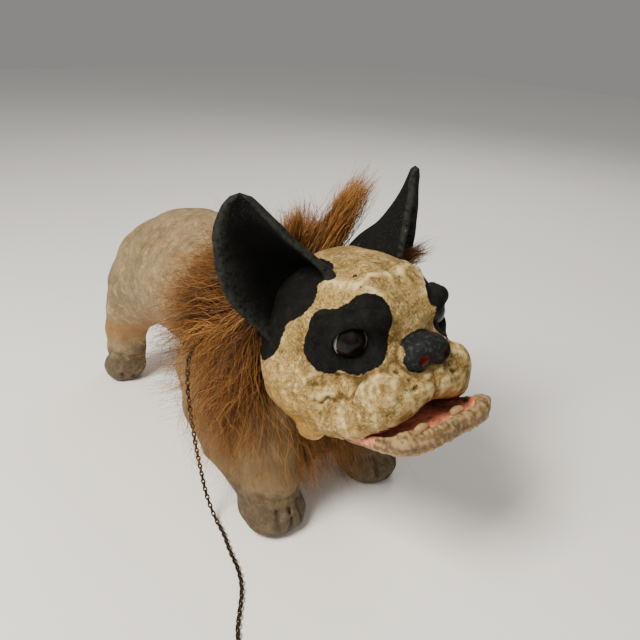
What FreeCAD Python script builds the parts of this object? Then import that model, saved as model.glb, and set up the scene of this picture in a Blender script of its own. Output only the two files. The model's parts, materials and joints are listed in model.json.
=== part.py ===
import FreeCAD, Part
import math
import os

from FreeCAD import Vector

# A papier-mache growler bulldog: a hollow four-legged body, a nodding head with a hinged
# lower jaw, a fibre ruff over the neck joint, a growler inside the body and a pull chain
# at the right shoulder. Millimetres. +Z is up, the dog faces -Y, its right side is -X.
# Origin on the floor under the middle of the object's box.

# ---- driving dimensions ------------------------------------------------------------
REAR_Y = 243.0            # back of the rump
WALL = 4.0                # papier-mache wall
SOLE_Z = 2.0              # the soles stand this far off the floor, on the rollers
RUNNING = 0.05            # radial clearance of a pin that turns in its hole
CLEAR = 0.4               # gap between pieces that move past each other

NECK_Y, NECK_Z = -48.0, 175.0         # nod axis
NECK_FACE_Y = -56.0                   # front of the body at the neck
NECK_RING_R, NECK_HOLE_R, NECK_RING_DEPTH = 48.0, 41.0, 14.0
NECK_TUBE_R, NECK_TUBE_WALL = 34.0, 3.0
NECK_TUBE_Y = (-112.0, -18.0)
BAND_IN_R, BAND_R = 52.6, 55.0        # the collar band
BAND_Y, BAND_DEPTH = -54.0, 13.0
TACK_COUNT, TACK_R, TACK_SHANK_R, TACK_HEAD = 10, 2.5, 0.8, 1.5
PIN_R = 2.0

FRONT_PAW = dict(x=60.0, y=-99.0, z=19.0, rx=31.0, ry=34.0, rz=25.0, plug=20.0)
HIND_PAW = dict(x=56.0, y=217.0, z=17.0, rx=25.0, ry=26.0, rz=22.0, plug=16.0)
PLUG_TOP_Z = 30.0
ROLLER_R, ROLLER_W, ROLLER_EDGE, AXLE_R = 8.0, 7.0, 0.8, 1.5
SLOT_END = 2.0            # room between a roller and the ends of its slot
AXLE_SHORT = 2.0          # an axle ends this far inside its plug

# body and head sections: y, half width, half height, centre height
TORSO = [(-55, 51, 51, 175), (-46, 51, 51, 175), (-38, 53, 53, 174), (-22, 68, 68, 169),
         (0, 75, 74, 165),
         (35, 76, 75, 162), (80, 72, 71, 162), (130, 70, 69, 157), (168, 69, 68, 148),
         (198, 64, 64, 139), (220, 54, 56, 133), (236, 36, 40, 127), (REAR_Y, 14, 16, 123)]
CHEST = [(-96, 18, 13, 86), (-88, 36, 24, 87), (-70, 52, 35, 88), (-44, 60, 42, 91),
         (-18, 60, 45, 96), (8, 46, 36, 104)]
CRANIUM = [(-70, 40, 40, 182), (-82, 58, 54, 188), (-105, 70, 66, 193), (-130, 73, 68, 191),
           (-155, 68, 62, 190), (-178, 54, 51, 190), (-192, 36, 36, 192), (-198, 14, 14, 194)]
MUZZLE = [(-128, 60, 37, 158), (-145, 65, 42, 161), (-170, 63, 40, 165), (-194, 57, 34, 171),
          (-209, 43, 25, 179), (-217, 20, 12, 186)]
ROUND, SQUARISH = 2.0, 3.0            # how square an oval section is
FACE_SPLIT_Y = -118.0
# leg sections: x, y, z, half width, half depth
FRONT_LEG = [(60, -101, 26, 27, 29), (60, -98, 48, 26, 27), (58, -90, 72, 28, 29),
             (53, -76, 94, 29, 30), (46, -58, 111, 26, 29), (38, -40, 124, 22, 28)]
HIND_LEG = [(55, 211, 24, 21, 23), (54, 212, 45, 22, 24), (53, 208, 70, 24, 28),
            (50, 200, 98, 27, 38), (44, 190, 125, 27, 42), (36, 180, 150, 24, 38)]

# ear sections: middle x, y, z, half width, half depth, slope of the section in degrees
EAR = [(44, -108, 206, 42, 14, 44), (52, -106, 224, 41, 14, 40), (63, -104, 246, 36, 13, 33),
       (74, -102, 268, 29, 11, 28), (83, -100, 288, 21, 9, 24), (89, -99, 302, 12, 6, 22),
       (92, -99, 311, 3, 3, 22)]
EAR_FACING = Vector(0.35, -0.94, 0.0)
EAR_CUP_RIM, EAR_CUP_FORWARD = 5.0, 8.0
EYE = Vector(43, -166, 214)
EYE_AXIS = Vector(0.50, -0.86, 0.06)
EYE_R, GLASS_T, GLASS_FROM = 16.0, 2.5, 5.0      # the glass starts this far ahead of the middle
NOSE, NOSE_RADII = Vector(0, -207, 208), (18, 12, 14)

JAW_PIN_Y, JAW_PIN_Z = -140.0, 130.0
JAW_SLOPE = 20.0          # degrees, the jaw rises towards its front
JAW_HALF_W, JAW_THICK, JAW_CORNER_R = 50.0, 13.0, 34.0
JAW_LENGTH, JAW_HEEL, JAW_UNDER = 116.0, 9.5, 9.0
JAW_TOP = JAW_THICK - JAW_UNDER       # above the jaw pin, square to the jaw
JAW_BASIN_FLOOR, JAW_RIM, JAW_SOLID = -3.0, 7.0, 24.0     # solid this far round the pin
JAW_TAIL_FOOT, JAW_TAIL_TIP, JAW_TAIL_R = Vector(0, -134, 128), Vector(0, -112, 149), 2.0
MOUTH_SIDE, MOUTH_ABOVE, MOUTH_BELOW = 2.8, 4.0, 60.0     # the jaw's room in the face
JAW_PIN_HALF = 62.0
TOOTH_AT, TOOTH_HALF_W, TOOTH_R, TOOTH_TIP_R, TOOTH_H = 88.0, 30.0, 3.4, 0.8, 11.0

BOARD_HALF_W, BOARD_HALF_T = 30.0, 3.0
BASE_Z, BASE_T = 104.0, 8.0
LUG_T = 5.0
BASE_Y0, BASE_Y1 = 62.0, 172.0
BOARD_PIN_Y, BOARD_PIN_Z = 162.0, 119.0
BOARD_LENGTH, BOARD_ANGLE = 84.0, 22.0
LEATHER_T, LEATHER_GAP = 2.0, 0.5
SPRING_T, SPRING_HALF_W = 0.8, 5.0
SPRING_FOOT, SPRING_BEND, SPRING_TIP = 52.0, 20.0, 58.0      # along the moving board, from its pin
HOOK_IN, HOOK_H, HOOK_R = 8.0, 8.0, 2.0
REED = dict(half_w=12.0, depth=12.0, height=16.0)
CHANNEL = dict(half_w=3.0, low=3.0, high=9.0)
TONGUE = dict(half_w=2.5, t=0.6, low=1.0, high=14.0)
GUIDE_EYE = dict(x=-24.0, y=70.0, z=9.0, ring=4.0, wire=1.0, stem=1.2)
CORD_R, INNER_CHAIN_R = 1.0, 1.2
JAW_CORD = [(6, -112, 152), (8, -60, 190), (8, -22, 196), (4, 74, 158)]

# ruff sections: y, half width, half height, centre height; its core clears the body and band
MANE = [(-57, 90, 92, 178), (-32, 107, 104, 180), (0, 108, 104, 180), (34, 94, 91, 172),
        (54, 82, 80, 165)]
MANE_CORE = [(-75, 59, 59, 175), (-54, 59, 59, 175), (-38, 61, 61, 174), (-22, 71, 71, 169),
             (0, 77, 76, 165), (34, 78, 77, 162), (60, 76, 75, 162)]
BIB = dict(centre=Vector(0, -84, 96), radii=(60, 46, 62))
MANE_FRONT_Y, CHIN_Z, HAIR_END_Z = -57.0, 92.0, 32.0

WEIGHT = dict(y=26.0, z=133.0, r=22.0, length=44.0, edge=2.0)
ARM_FOOT_Y, ARM_R = -28.0, 2.5
CHAIN_D = 4.5
EYELET_R, EYELET_LENGTH, FLANGE_R, FLANGE_T = 4.0, 14.0, 7.0, 1.5
EYELET_ROOM, CHAIN_ROOM = 8.0, 2.5    # room in the ruff round the eyelet and along the chain
CHAIN_EXIT = Vector(-71, -20, 165)
# the free run of the pull chain: out of the shoulder, down over the ruff, along the floor
CHAIN_ROUTE = [(-71, -20, 165), (-88, -27, 166), (-103, -36, 157), (-108, -41, 137),
               (-109, -46, 108), (-108, -51, 76), (-106, -56, 46), (-104, -61, 20),
               (-103, -74, 2.25), (-106, -92, 2.25), (-113, -112, 2.25), (-118, -134, 2.25),
               (-127, -154, 2.25), (-142, -172, 2.25), (-155, -188, 2.25), (-163.5, -212, 2.25)]
COIL_CENTRE = Vector(-190, -222, 0)
COIL_IN_R, COIL_OUT_R, COIL_H = 14.0, 29.5, 4.6
RING_R, RING_WIRE_R = 9.0, 1.6

AXIS_X, AXIS_Y, AXIS_Z = Vector(1, 0, 0), Vector(0, 1, 0), Vector(0, 0, 1)


# ---- shape helpers -------------------------------------------------------------------
def closed_wire(points):
    curve = Part.BSplineCurve()
    curve.interpolate(Points=points, PeriodicFlag=True)
    return Part.Wire([curve.toShape()])


def oval(centre, across, up, half_w, half_h, power=ROUND, count=16):
    """A closed oval round a centre, in the plane of two directions; more power, squarer."""
    points = []
    for i in range(count):
        c, s = math.cos(2 * math.pi * i / count), math.sin(2 * math.pi * i / count)
        x = math.copysign(abs(c) ** (2 / power), c)
        y = math.copysign(abs(s) ** (2 / power), s)
        points.append(centre + across * (half_w * x) + up * (half_h * y))
    return closed_wire(points)


def loft(wires):
    return Part.makeLoft(wires, True, False)


def body_of_sections(sections, inset=0.0, power=ROUND):
    """A solid through sections along Y, each made smaller by the inset."""
    return loft([oval(Vector(0, y, z), AXIS_X, AXIS_Z, half_w - inset, half_h - inset, power)
                 for y, half_w, half_h, z in sections])


def leg_of_sections(sections, inset=0.0):
    return loft([oval(Vector(-x, y, z), AXIS_X, AXIS_Y, half_w - inset, half_d - inset)
                 for x, y, z, half_w, half_d in sections])


def grown(sections, by):
    return [(y, half_w + by, half_h + by, z) for y, half_w, half_h, z in sections]


def ellipsoid(centre, rx, ry, rz):
    """A solid of revolution stretched to three radii."""
    ball = Part.makeSphere(1.0)
    stretch = FreeCAD.Matrix()
    stretch.A11, stretch.A22, stretch.A33 = rx, ry, rz
    stretch.A14, stretch.A24, stretch.A34 = centre.x, centre.y, centre.z
    return ball.transformGeometry(stretch)


def block(x0, x1, y0, y1, z0, z1):
    return Part.makeBox(x1 - x0, y1 - y0, z1 - z0, Vector(x0, y0, z0))


def rod(start, end, radius):
    along = end - start
    return Part.makeCylinder(radius, along.Length, start, along)


def mirrored(shape):
    return shape.mirror(Vector(0, 0, 0), AXIS_X)


def fused(shapes):
    result = shapes[0]
    for shape in shapes[1:]:
        result = result.fuse(shape)
    return result.removeSplitter()


def chain_tube(points, radius):
    """Straight runs joined by tangent arcs, each as large as its two runs allow."""
    edges, radii = [], []
    here = points[0]
    for before, corner, after in zip(points, points[1:], points[2:]):
        into, out = corner - before, after - corner
        cut = 0.45 * min(into.Length, out.Length)
        into.normalize()
        out.normalize()
        half_turn = into.getAngle(out) / 2
        bend = cut / math.tan(half_turn)
        towards_centre = (out - into).normalize()
        start, end = corner - into * cut, corner + out * cut
        middle = corner + towards_centre * (bend / math.cos(half_turn) - bend)
        edges.append(Part.LineSegment(here, start).toShape())
        edges.append(Part.Arc(start, middle, end).toShape())
        radii.append(bend)
        here = end
    edges.append(Part.LineSegment(here, points[-1]).toShape())
    path = Part.Wire(edges)
    ring = Part.Wire([Part.Circle(points[0], points[1] - points[0], radius).toShape()])
    tube = path.makePipeShell([ring], True, False)
    print("chain run: length %.0f mm, least radius %.1f mm, volume over section times length %.4f"
          % (path.Length, min(radii), tube.Volume / (math.pi * radius ** 2 * path.Length)))
    return tube


# ---- body ----------------------------------------------------------------------------
def paw(spec, inset=0.0):
    ball = ellipsoid(Vector(-spec["x"], spec["y"], spec["z"]),
                     spec["rx"] - inset, spec["ry"] - inset, spec["rz"] - inset)
    return ball.common(block(-150, 0, -200, REAR_Y, SOLE_Z, 80))


def plug_hole(spec):
    return Part.makeCylinder(spec["plug"], PLUG_TOP_Z - SOLE_Z,
                             Vector(-spec["x"], spec["y"], SOLE_Z), AXIS_Z)


def body_outer():
    right = block(-150, 0, -200, REAR_Y + 1, 0, 300)
    torso = body_of_sections(TORSO)
    chest = body_of_sections(CHEST)
    limbs = [leg_of_sections(FRONT_LEG), leg_of_sections(HIND_LEG), paw(FRONT_PAW), paw(HIND_PAW)]
    return fused([torso.common(right), chest.common(right)] + limbs).common(right)


def body_shells(parts, outer):
    """The right half with its two legs, and the left half as its mirror image."""
    hollow = body_of_sections(TORSO[:-1], WALL)
    leg_hollows = [leg_of_sections(FRONT_LEG[1:], WALL), leg_of_sections(HIND_LEG[1:], WALL)]
    seat = Part.makeCylinder(NECK_RING_R, NECK_RING_DEPTH + 2, Vector(0, NECK_FACE_Y, NECK_Z), AXIS_Y)
    shell = outer.cut(hollow).cut(seat)
    chest_hollow = body_of_sections(CHEST[1:], WALL)
    for hole in [chest_hollow] + leg_hollows + [plug_hole(FRONT_PAW), plug_hole(HIND_PAW)]:
        shell = shell.cut(hole)
    parts["body_shell_left"] = mirrored(shell)
    outside, inside = CHAIN_EXIT - AXIS_X * 20, CHAIN_EXIT + AXIS_X * 20
    eyelet_hole = rod(outside, inside, EYELET_R)
    eyelet_seat = rod(outside, CHAIN_EXIT + AXIS_X * FLANGE_T, FLANGE_R)
    parts["body_shell_right"] = shell.cut(eyelet_hole).cut(eyelet_seat)
    return hollow


def foot_plugs_and_rollers(parts):
    """Wooden plugs in the paws, each slotted for a roller on a steel axle."""
    axles = []
    for end, spec in (("front", FRONT_PAW), ("hind", HIND_PAW)):
        x, y = -spec["x"], spec["y"]
        plug = plug_hole(spec)
        slot = block(x - ROLLER_W / 2 - CLEAR, x + ROLLER_W / 2 + CLEAR,
                     y - ROLLER_R - SLOT_END, y + ROLLER_R + SLOT_END, 0, 2 * ROLLER_R + SLOT_END)
        half = spec["plug"] - AXLE_SHORT
        axle = rod(Vector(x - half, y, ROLLER_R), Vector(x + half, y, ROLLER_R), AXLE_R)
        plug = plug.cut(slot).cut(axle)
        tread = Part.makeCylinder(ROLLER_R, ROLLER_W, Vector(x - ROLLER_W / 2, y, ROLLER_R), AXIS_X)
        roller = tread.makeFillet(ROLLER_EDGE, [e for e in tread.Edges if e.Length > 2 * ROLLER_R])
        roller = roller.cut(rod(Vector(x - 20, y, ROLLER_R), Vector(x + 20, y, ROLLER_R),
                                AXLE_R + RUNNING))
        for side, turn in (("right", lambda s: s), ("left", mirrored)):
            parts["foot_plug_%s_%s" % (end, side)] = turn(plug)
            parts["roller_%s_%s" % (end, side)] = turn(roller)
            axles.append(turn(axle))
    parts["roller_axles"] = Part.makeCompound(axles)


def neck_ring_and_pin(parts):
    front = Vector(0, NECK_FACE_Y + 1, NECK_Z)
    ring = Part.makeCylinder(NECK_RING_R, NECK_RING_DEPTH, front, AXIS_Y)
    ring = ring.cut(Part.makeCylinder(NECK_HOLE_R, NECK_RING_DEPTH + 4, front - AXIS_Y * 2, AXIS_Y))
    pin = rod(Vector(-NECK_RING_R + 1, NECK_Y, NECK_Z), Vector(NECK_RING_R - 1, NECK_Y, NECK_Z), PIN_R)
    parts["nod_pin"] = pin
    parts["neck_ring"] = ring.cut(pin)


def chain_eyelet(parts):
    at, along = CHAIN_EXIT, AXIS_X
    flange = Part.makeCylinder(FLANGE_R, FLANGE_T, at, along)
    barrel = Part.makeCylinder(EYELET_R, EYELET_LENGTH, at, along)
    bore = Part.makeCylinder(CHAIN_D / 2 + 0.5, EYELET_LENGTH + 2, at - along, along)
    eyelet = flange.fuse(barrel).cut(bore)
    parts["chain_eyelet"] = eyelet.removeSplitter()


# ---- growler -------------------------------------------------------------------------
def board_plane_point(distance, lift):
    """A point in the middle plane, along the moving board from its pin and above it."""
    a = math.radians(BOARD_ANGLE)
    return Vector(0, BOARD_PIN_Y - distance * math.cos(a) + lift * math.sin(a),
                  BOARD_PIN_Z + distance * math.sin(a) + lift * math.cos(a))


def side_prism(corners, half_width):
    """A prism across X from corners in the middle plane."""
    face = Part.Face(Part.makePolygon([c - AXIS_X * half_width for c in corners + corners[:1]]))
    return face.extrude(AXIS_X * (2 * half_width))


def growler(parts, hollow):
    top = BASE_Z + BASE_T
    base = block(-100, 100, BASE_Y0, BASE_Y1, BASE_Z, top).common(hollow)
    lug_out = BOARD_HALF_W + LUG_T + 1
    lug = block(-lug_out, -BOARD_HALF_W - 1, BOARD_PIN_Y - LUG_T, BOARD_PIN_Y + LUG_T, top,
                BOARD_PIN_Z + LUG_T)
    pin = rod(Vector(-lug_out, BOARD_PIN_Y, BOARD_PIN_Z), Vector(lug_out, BOARD_PIN_Y, BOARD_PIN_Z), AXLE_R)
    parts["growler_base_board"] = fused([base, lug, mirrored(lug)]).cut(pin)
    parts["growler_board_pin"] = pin

    half_t = BOARD_HALF_T
    plate = side_prism([board_plane_point(0, -half_t), board_plane_point(BOARD_LENGTH, -half_t),
                        board_plane_point(BOARD_LENGTH, half_t), board_plane_point(0, half_t)],
                       BOARD_HALF_W)
    knuckle = rod(Vector(-BOARD_HALF_W, BOARD_PIN_Y, BOARD_PIN_Z),
                  Vector(BOARD_HALF_W, BOARD_PIN_Y, BOARD_PIN_Z), BOARD_HALF_T + 1)
    pin_hole = rod(Vector(-50, BOARD_PIN_Y, BOARD_PIN_Z), Vector(50, BOARD_PIN_Y, BOARD_PIN_Z),
                   AXLE_R + RUNNING)
    hook_at = board_plane_point(BOARD_LENGTH - HOOK_IN, half_t)
    hook = rod(hook_at, hook_at + AXIS_Z * HOOK_H, HOOK_R)
    parts["growler_moving_board"] = fused([plate, knuckle, hook]).cut(pin_hole)

    near_edge, far_edge = 12.0, BOARD_LENGTH - 6
    def wedge(wall):
        span = (near_edge + wall, far_edge - wall)
        lower = [Vector(0, board_plane_point(d, -half_t).y, top) for d in span]
        upper = [board_plane_point(d, -half_t - LEATHER_GAP) for d in reversed(span)]
        return side_prism(lower + upper, BOARD_HALF_W - 4 - wall)
    parts["growler_leather"] = wedge(0.0).cut(wedge(LEATHER_T))

    def leaf(lift):
        """The V of the leaf spring: along the base board, round its bend, along the moving one."""
        rest = Vector(0, 0, top + 0.5 + lift)
        foot, bend = board_plane_point(SPRING_FOOT, 0), board_plane_point(SPRING_BEND, 0)
        tip = board_plane_point(SPRING_TIP, -half_t - 2 - lift)
        return [Vector(0, foot.y, rest.z), Vector(0, bend.y, rest.z), tip]
    outer, inner = leaf(0.0), leaf(SPRING_T)
    inner[1] = inner[1] - AXIS_Y * (2 * SPRING_T)
    parts["growler_spring"] = side_prism(outer + inner[::-1], SPRING_HALF_W)

    y0, y1 = BASE_Y0 + 2, BASE_Y0 + 2 + REED["depth"]
    reed_block = block(-REED["half_w"], REED["half_w"], y0, y1, top, top + REED["height"])
    channel = block(-CHANNEL["half_w"], CHANNEL["half_w"], y0, y1,
                    top + CHANNEL["low"], top + CHANNEL["high"])
    parts["reed_block"] = reed_block.cut(channel)
    parts["reed_tongue"] = block(-TONGUE["half_w"], TONGUE["half_w"], y0 - TONGUE["t"], y0,
                                 top + TONGUE["low"], top + TONGUE["high"])

    eye_at = Vector(GUIDE_EYE["x"], GUIDE_EYE["y"], top)
    eye_hole = eye_at + AXIS_Z * GUIDE_EYE["z"]
    eye = Part.makeTorus(GUIDE_EYE["ring"], GUIDE_EYE["wire"], eye_hole, AXIS_Y)
    stem_top = GUIDE_EYE["z"] - GUIDE_EYE["ring"] + 0.2
    stem = rod(eye_at, eye_at + AXIS_Z * stem_top, GUIDE_EYE["stem"])
    parts["chain_guide_eye"] = eye.fuse(stem).removeSplitter()

    inside = CHAIN_EXIT + AXIS_X * (EYELET_LENGTH + 2)
    parts["inner_chain"] = fused([rod(CHAIN_EXIT + AXIS_X, inside, INNER_CHAIN_R),
                                  Part.makeSphere(INNER_CHAIN_R, inside),
                                  rod(inside, eye_hole, INNER_CHAIN_R)])
    cord_points = [Vector(*p) for p in JAW_CORD]
    runs = [rod(a, b, CORD_R) for a, b in zip(cord_points, cord_points[1:])]
    knots = [Part.makeSphere(CORD_R, p) for p in cord_points[1:-1]]
    parts["jaw_cord"] = fused(runs + knots)


# ---- head ----------------------------------------------------------------------------
def head_outer():
    return body_of_sections(CRANIUM).fuse(body_of_sections(MUZZLE, power=SQUARISH))


def head_hollow():
    """The head's inside, closed at the back of the skull and at the front of the face."""
    return body_of_sections(CRANIUM[1:-1], WALL).fuse(body_of_sections(MUZZLE[:-1], WALL, SQUARISH))


def jaw_frame():
    """The jaw's own directions: forward along its slope, and square to its top."""
    a = math.radians(JAW_SLOPE)
    return Vector(0, -math.cos(a), math.sin(a)), Vector(0, math.sin(a), math.cos(a))


def jaw_slab(margin, low, high, length):
    """A slab with round front corners, around the jaw's outline."""
    forward, up = jaw_frame()
    root = Vector(0, JAW_PIN_Y, JAW_PIN_Z) - forward * (JAW_HEEL + margin) + up * low
    half, corner = JAW_HALF_W + margin, JAW_CORNER_R + margin
    long_side = length + 2 * margin - corner
    bulge = corner * (1 - math.sqrt(0.5))
    a, b = root - AXIS_X * half, root - AXIS_X * half + forward * long_side
    c = root - AXIS_X * (half - bulge) + forward * (long_side + corner - bulge)
    d = root - AXIS_X * (half - corner) + forward * (long_side + corner)
    def other(p):
        return Vector(-p.x, p.y, p.z)
    edges = [Part.LineSegment(a, b).toShape(), Part.Arc(b, c, d).toShape(),
             Part.LineSegment(d, other(d)).toShape(), Part.Arc(other(d), other(c), other(b)).toShape(),
             Part.LineSegment(other(b), other(a)).toShape(), Part.LineSegment(other(a), a).toShape()]
    return Part.Face(Part.Wire(edges)).extrude(up * (high - low))


def lower_jaw(parts):
    forward, up = jaw_frame()
    slab = jaw_slab(0.0, -JAW_UNDER, JAW_TOP, JAW_LENGTH)
    basin = jaw_slab(-JAW_RIM, JAW_BASIN_FLOOR, JAW_THICK, JAW_LENGTH)
    heel = jaw_slab(0.0, -JAW_UNDER, JAW_TOP, JAW_SOLID)
    basin = basin.cut(heel)
    pin_at = Vector(0, JAW_PIN_Y, JAW_PIN_Z)
    pin_hole = rod(pin_at - AXIS_X * JAW_PIN_HALF, pin_at + AXIS_X * JAW_PIN_HALF, PIN_R + RUNNING)
    tail = rod(JAW_TAIL_FOOT, JAW_TAIL_TIP, JAW_TAIL_R)
    jaw = slab.cut(basin).cut(pin_hole)
    teeth = []
    for side in (-1, 1):
        root = pin_at + forward * TOOTH_AT + up * JAW_BASIN_FLOOR + AXIS_X * (side * TOOTH_HALF_W)
        teeth.append(Part.makeCone(TOOTH_R, TOOTH_TIP_R, TOOTH_H, root, up))
    parts["lower_teeth"] = Part.makeCompound(teeth)
    parts["jaw_tail"] = tail.cut(slab)
    parts["lower_jaw"] = jaw
    pin = rod(pin_at - AXIS_X * JAW_PIN_HALF, pin_at + AXIS_X * JAW_PIN_HALF, PIN_R)
    parts["jaw_pin"] = pin
    return pin


def eye(parts):
    axis = Vector(-EYE_AXIS.x, EYE_AXIS.y, EYE_AXIS.z).normalize()
    centre = Vector(-EYE.x, EYE.y, EYE.z)
    def ahead(distance, length):
        return Part.makeCylinder(2 * EYE_R, length, centre + axis * distance, axis)
    ball = Part.makeSphere(EYE_R, centre)
    glass = ball.common(ahead(GLASS_FROM, 2 * EYE_R)).cut(Part.makeSphere(EYE_R - GLASS_T, centre))
    backing = ball.common(ahead(0, GLASS_FROM))
    for side, turn in (("right", lambda s: s), ("left", mirrored)):
        parts["eye_glass_" + side] = turn(glass)
        parts["eye_backing_" + side] = turn(backing)
    return ball


def ear(parts):
    """A spoon-shaped ear: an oval leaf, hollowed on its front."""
    front = Vector(-EAR_FACING.x, EAR_FACING.y, EAR_FACING.z).normalize()
    def leaf(sections, shrink, forward):
        wires = []
        for x, y, z, half_w, half_d, slope in sections:
            a = math.radians(slope)
            across = Vector(math.cos(a), 0, math.sin(a))
            across = (across - front * across.dot(front)).normalize()
            wires.append(oval(Vector(-x, y, z) + front * forward, across, front,
                              half_w - shrink, half_d - shrink / 2))
        return loft(wires)
    skull = body_of_sections(grown(CRANIUM, CLEAR))
    solid = leaf(EAR, 0.0, 0.0).cut(leaf(EAR[1:-1], EAR_CUP_RIM, EAR_CUP_FORWARD)).cut(skull)
    solid = max(solid.Solids, key=lambda s: s.Volume)
    parts["ear_right"] = solid
    parts["ear_left"] = mirrored(solid)


def head(parts):
    outer = head_outer()
    pin = lower_jaw(parts)
    nose = ellipsoid(NOSE, *NOSE_RADII)
    skin = outer.fuse(nose)
    mouth = jaw_slab(MOUTH_SIDE, -MOUTH_BELOW, JAW_TOP + MOUTH_ABOVE, JAW_LENGTH + 40)
    socket = eye(parts)
    neck_hole = Part.makeCylinder(NECK_TUBE_R, 60, Vector(0, -120, NECK_Z), AXIS_Y)
    ear(parts)
    shell = skin.cut(head_hollow()).cut(mouth).cut(neck_hole).cut(pin).cut(socket)
    for name, y0, y1 in (("face_shell", -300, FACE_SPLIT_Y), ("skull_shell", FACE_SPLIT_Y, 0)):
        half = shell.common(block(-150, 0, y0, y1, 0, 400))
        half = max(half.Solids, key=lambda s: s.Volume)
        parts[name] = half.fuse(mirrored(half))
        parts[name].fix(1e-4, 1e-4, 1e-3)

    tube_front, tube_length = Vector(0, NECK_TUBE_Y[0], NECK_Z), NECK_TUBE_Y[1] - NECK_TUBE_Y[0]
    tube = Part.makeCylinder(NECK_TUBE_R, tube_length, tube_front, AXIS_Y)
    tube = tube.cut(Part.makeCylinder(NECK_TUBE_R - NECK_TUBE_WALL, tube_length + 6,
                                      tube_front - AXIS_Y * 3, AXIS_Y))
    pin_hole = rod(Vector(-60, NECK_Y, NECK_Z), Vector(60, NECK_Y, NECK_Z), PIN_R + RUNNING)
    arm_foot = Vector(0, ARM_FOOT_Y, NECK_Z - NECK_TUBE_R + NECK_TUBE_WALL / 2)
    arm = rod(arm_foot, Vector(0, WEIGHT["y"], WEIGHT["z"]), ARM_R)
    weight = Part.makeCylinder(WEIGHT["r"], WEIGHT["length"],
                               Vector(-WEIGHT["length"] / 2, WEIGHT["y"], WEIGHT["z"]), AXIS_X)
    parts["neck_tube"] = tube.cut(pin_hole).cut(arm)
    parts["weight_arm"] = arm.cut(weight)
    round_edges = [e for e in weight.Edges if e.Length > WEIGHT["length"] + 1]
    parts["nod_weight"] = weight.makeFillet(WEIGHT["edge"], round_edges)


# ---- ruff ----------------------------------------------------------------------------
def both_sides(shape):
    return [shape, mirrored(shape)]


def collar(parts):
    """The leather band round the neck of the body, with its tacks."""
    tacks = []
    front = Vector(0, BAND_Y, NECK_Z)
    at = front + AXIS_Y * (BAND_DEPTH / 2)
    for i in range(TACK_COUNT):
        turn = 2 * math.pi * (i + 0.5) / TACK_COUNT
        out = Vector(math.cos(turn), 0, math.sin(turn))
        shank = rod(at + out * (NECK_RING_R + 1), at + out * BAND_R, TACK_SHANK_R)
        tacks.append(shank.fuse(rod(at + out * BAND_R, at + out * (BAND_R + TACK_HEAD), TACK_R)))
    group = Part.makeCompound(tacks)
    band = Part.makeCylinder(BAND_R, BAND_DEPTH, front, AXIS_Y)
    band = band.cut(Part.makeCylinder(BAND_IN_R, BAND_DEPTH, front, AXIS_Y))
    parts["ruff_band"] = band.cut(group)
    parts["collar_tacks"] = group
    for side in ("right", "left"):
        shell = parts["body_shell_" + side].cut(group).cut(band)
        parts["body_shell_" + side] = max(shell.Solids, key=lambda s: s.Volume)


def ruff(parts):
    """The fibre ruff as one soft ring, with a bib down the chest."""
    collar(parts)
    core = body_of_sections(MANE_CORE)
    hair = body_of_sections(MANE).cut(core)
    chest = body_of_sections(grown(CHEST, CLEAR))
    bib = ellipsoid(BIB["centre"], *BIB["radii"]).cut(core)
    bib = bib.cut(block(-150, 150, -200, MANE_FRONT_Y, CHIN_Z, 400))
    hair = hair.fuse(bib).cut(chest).cut(block(-150, 150, -200, 100, -100, HAIR_END_Z))
    for leg in both_sides(leg_of_sections(FRONT_LEG, -CLEAR)) + both_sides(paw(FRONT_PAW, -CLEAR)):
        hair = hair.cut(leg)
    hair = hair.cut(rod(CHAIN_EXIT + AXIS_X * 4, CHAIN_EXIT - AXIS_X * 8, EYELET_ROOM))
    for a, b in zip(CHAIN_ROUTE, CHAIN_ROUTE[1:6]):
        hair = hair.cut(rod(Vector(*a), Vector(*b), CHAIN_D / 2 + CHAIN_ROOM))
        hair = hair.cut(Part.makeSphere(CHAIN_D / 2 + CHAIN_ROOM, Vector(*b)))
    parts["ruff_hair"] = max(hair.Solids, key=lambda s: s.Volume)


# ---- chain ---------------------------------------------------------------------------
def pull_chain(parts):
    parts["pull_chain"] = chain_tube([Vector(*p) for p in CHAIN_ROUTE], CHAIN_D / 2)
    coil = Part.makeCylinder(COIL_OUT_R, COIL_H, COIL_CENTRE, AXIS_Z)
    parts["chain_coil"] = coil.cut(Part.makeCylinder(COIL_IN_R, COIL_H, COIL_CENTRE, AXIS_Z))
    parts["chain_ring"] = Part.makeTorus(RING_R, RING_WIRE_R, COIL_CENTRE + AXIS_Z * RING_WIRE_R, AXIS_Z)


def main():
    parts = {}
    outer = body_outer()
    hollow = body_shells(parts, outer)
    foot_plugs_and_rollers(parts)
    neck_ring_and_pin(parts)
    chain_eyelet(parts)
    growler(parts, hollow)
    head(parts)
    ruff(parts)
    pull_chain(parts)
    os.makedirs("parts", exist_ok=True)
    for name, shape in sorted(parts.items()):
        shape.exportStep(os.path.join("parts", name + ".step"))
        box = shape.BoundBox
        print("%-22s solids %d valid %s volume %8.0f  x %.0f..%.0f y %.0f..%.0f z %.0f..%.0f"
              % (name, len(shape.Solids), shape.isValid(), shape.Volume, box.XMin, box.XMax,
                 box.YMin, box.YMax, box.ZMin, box.ZMax))


main()
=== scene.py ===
import json
import math

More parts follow.
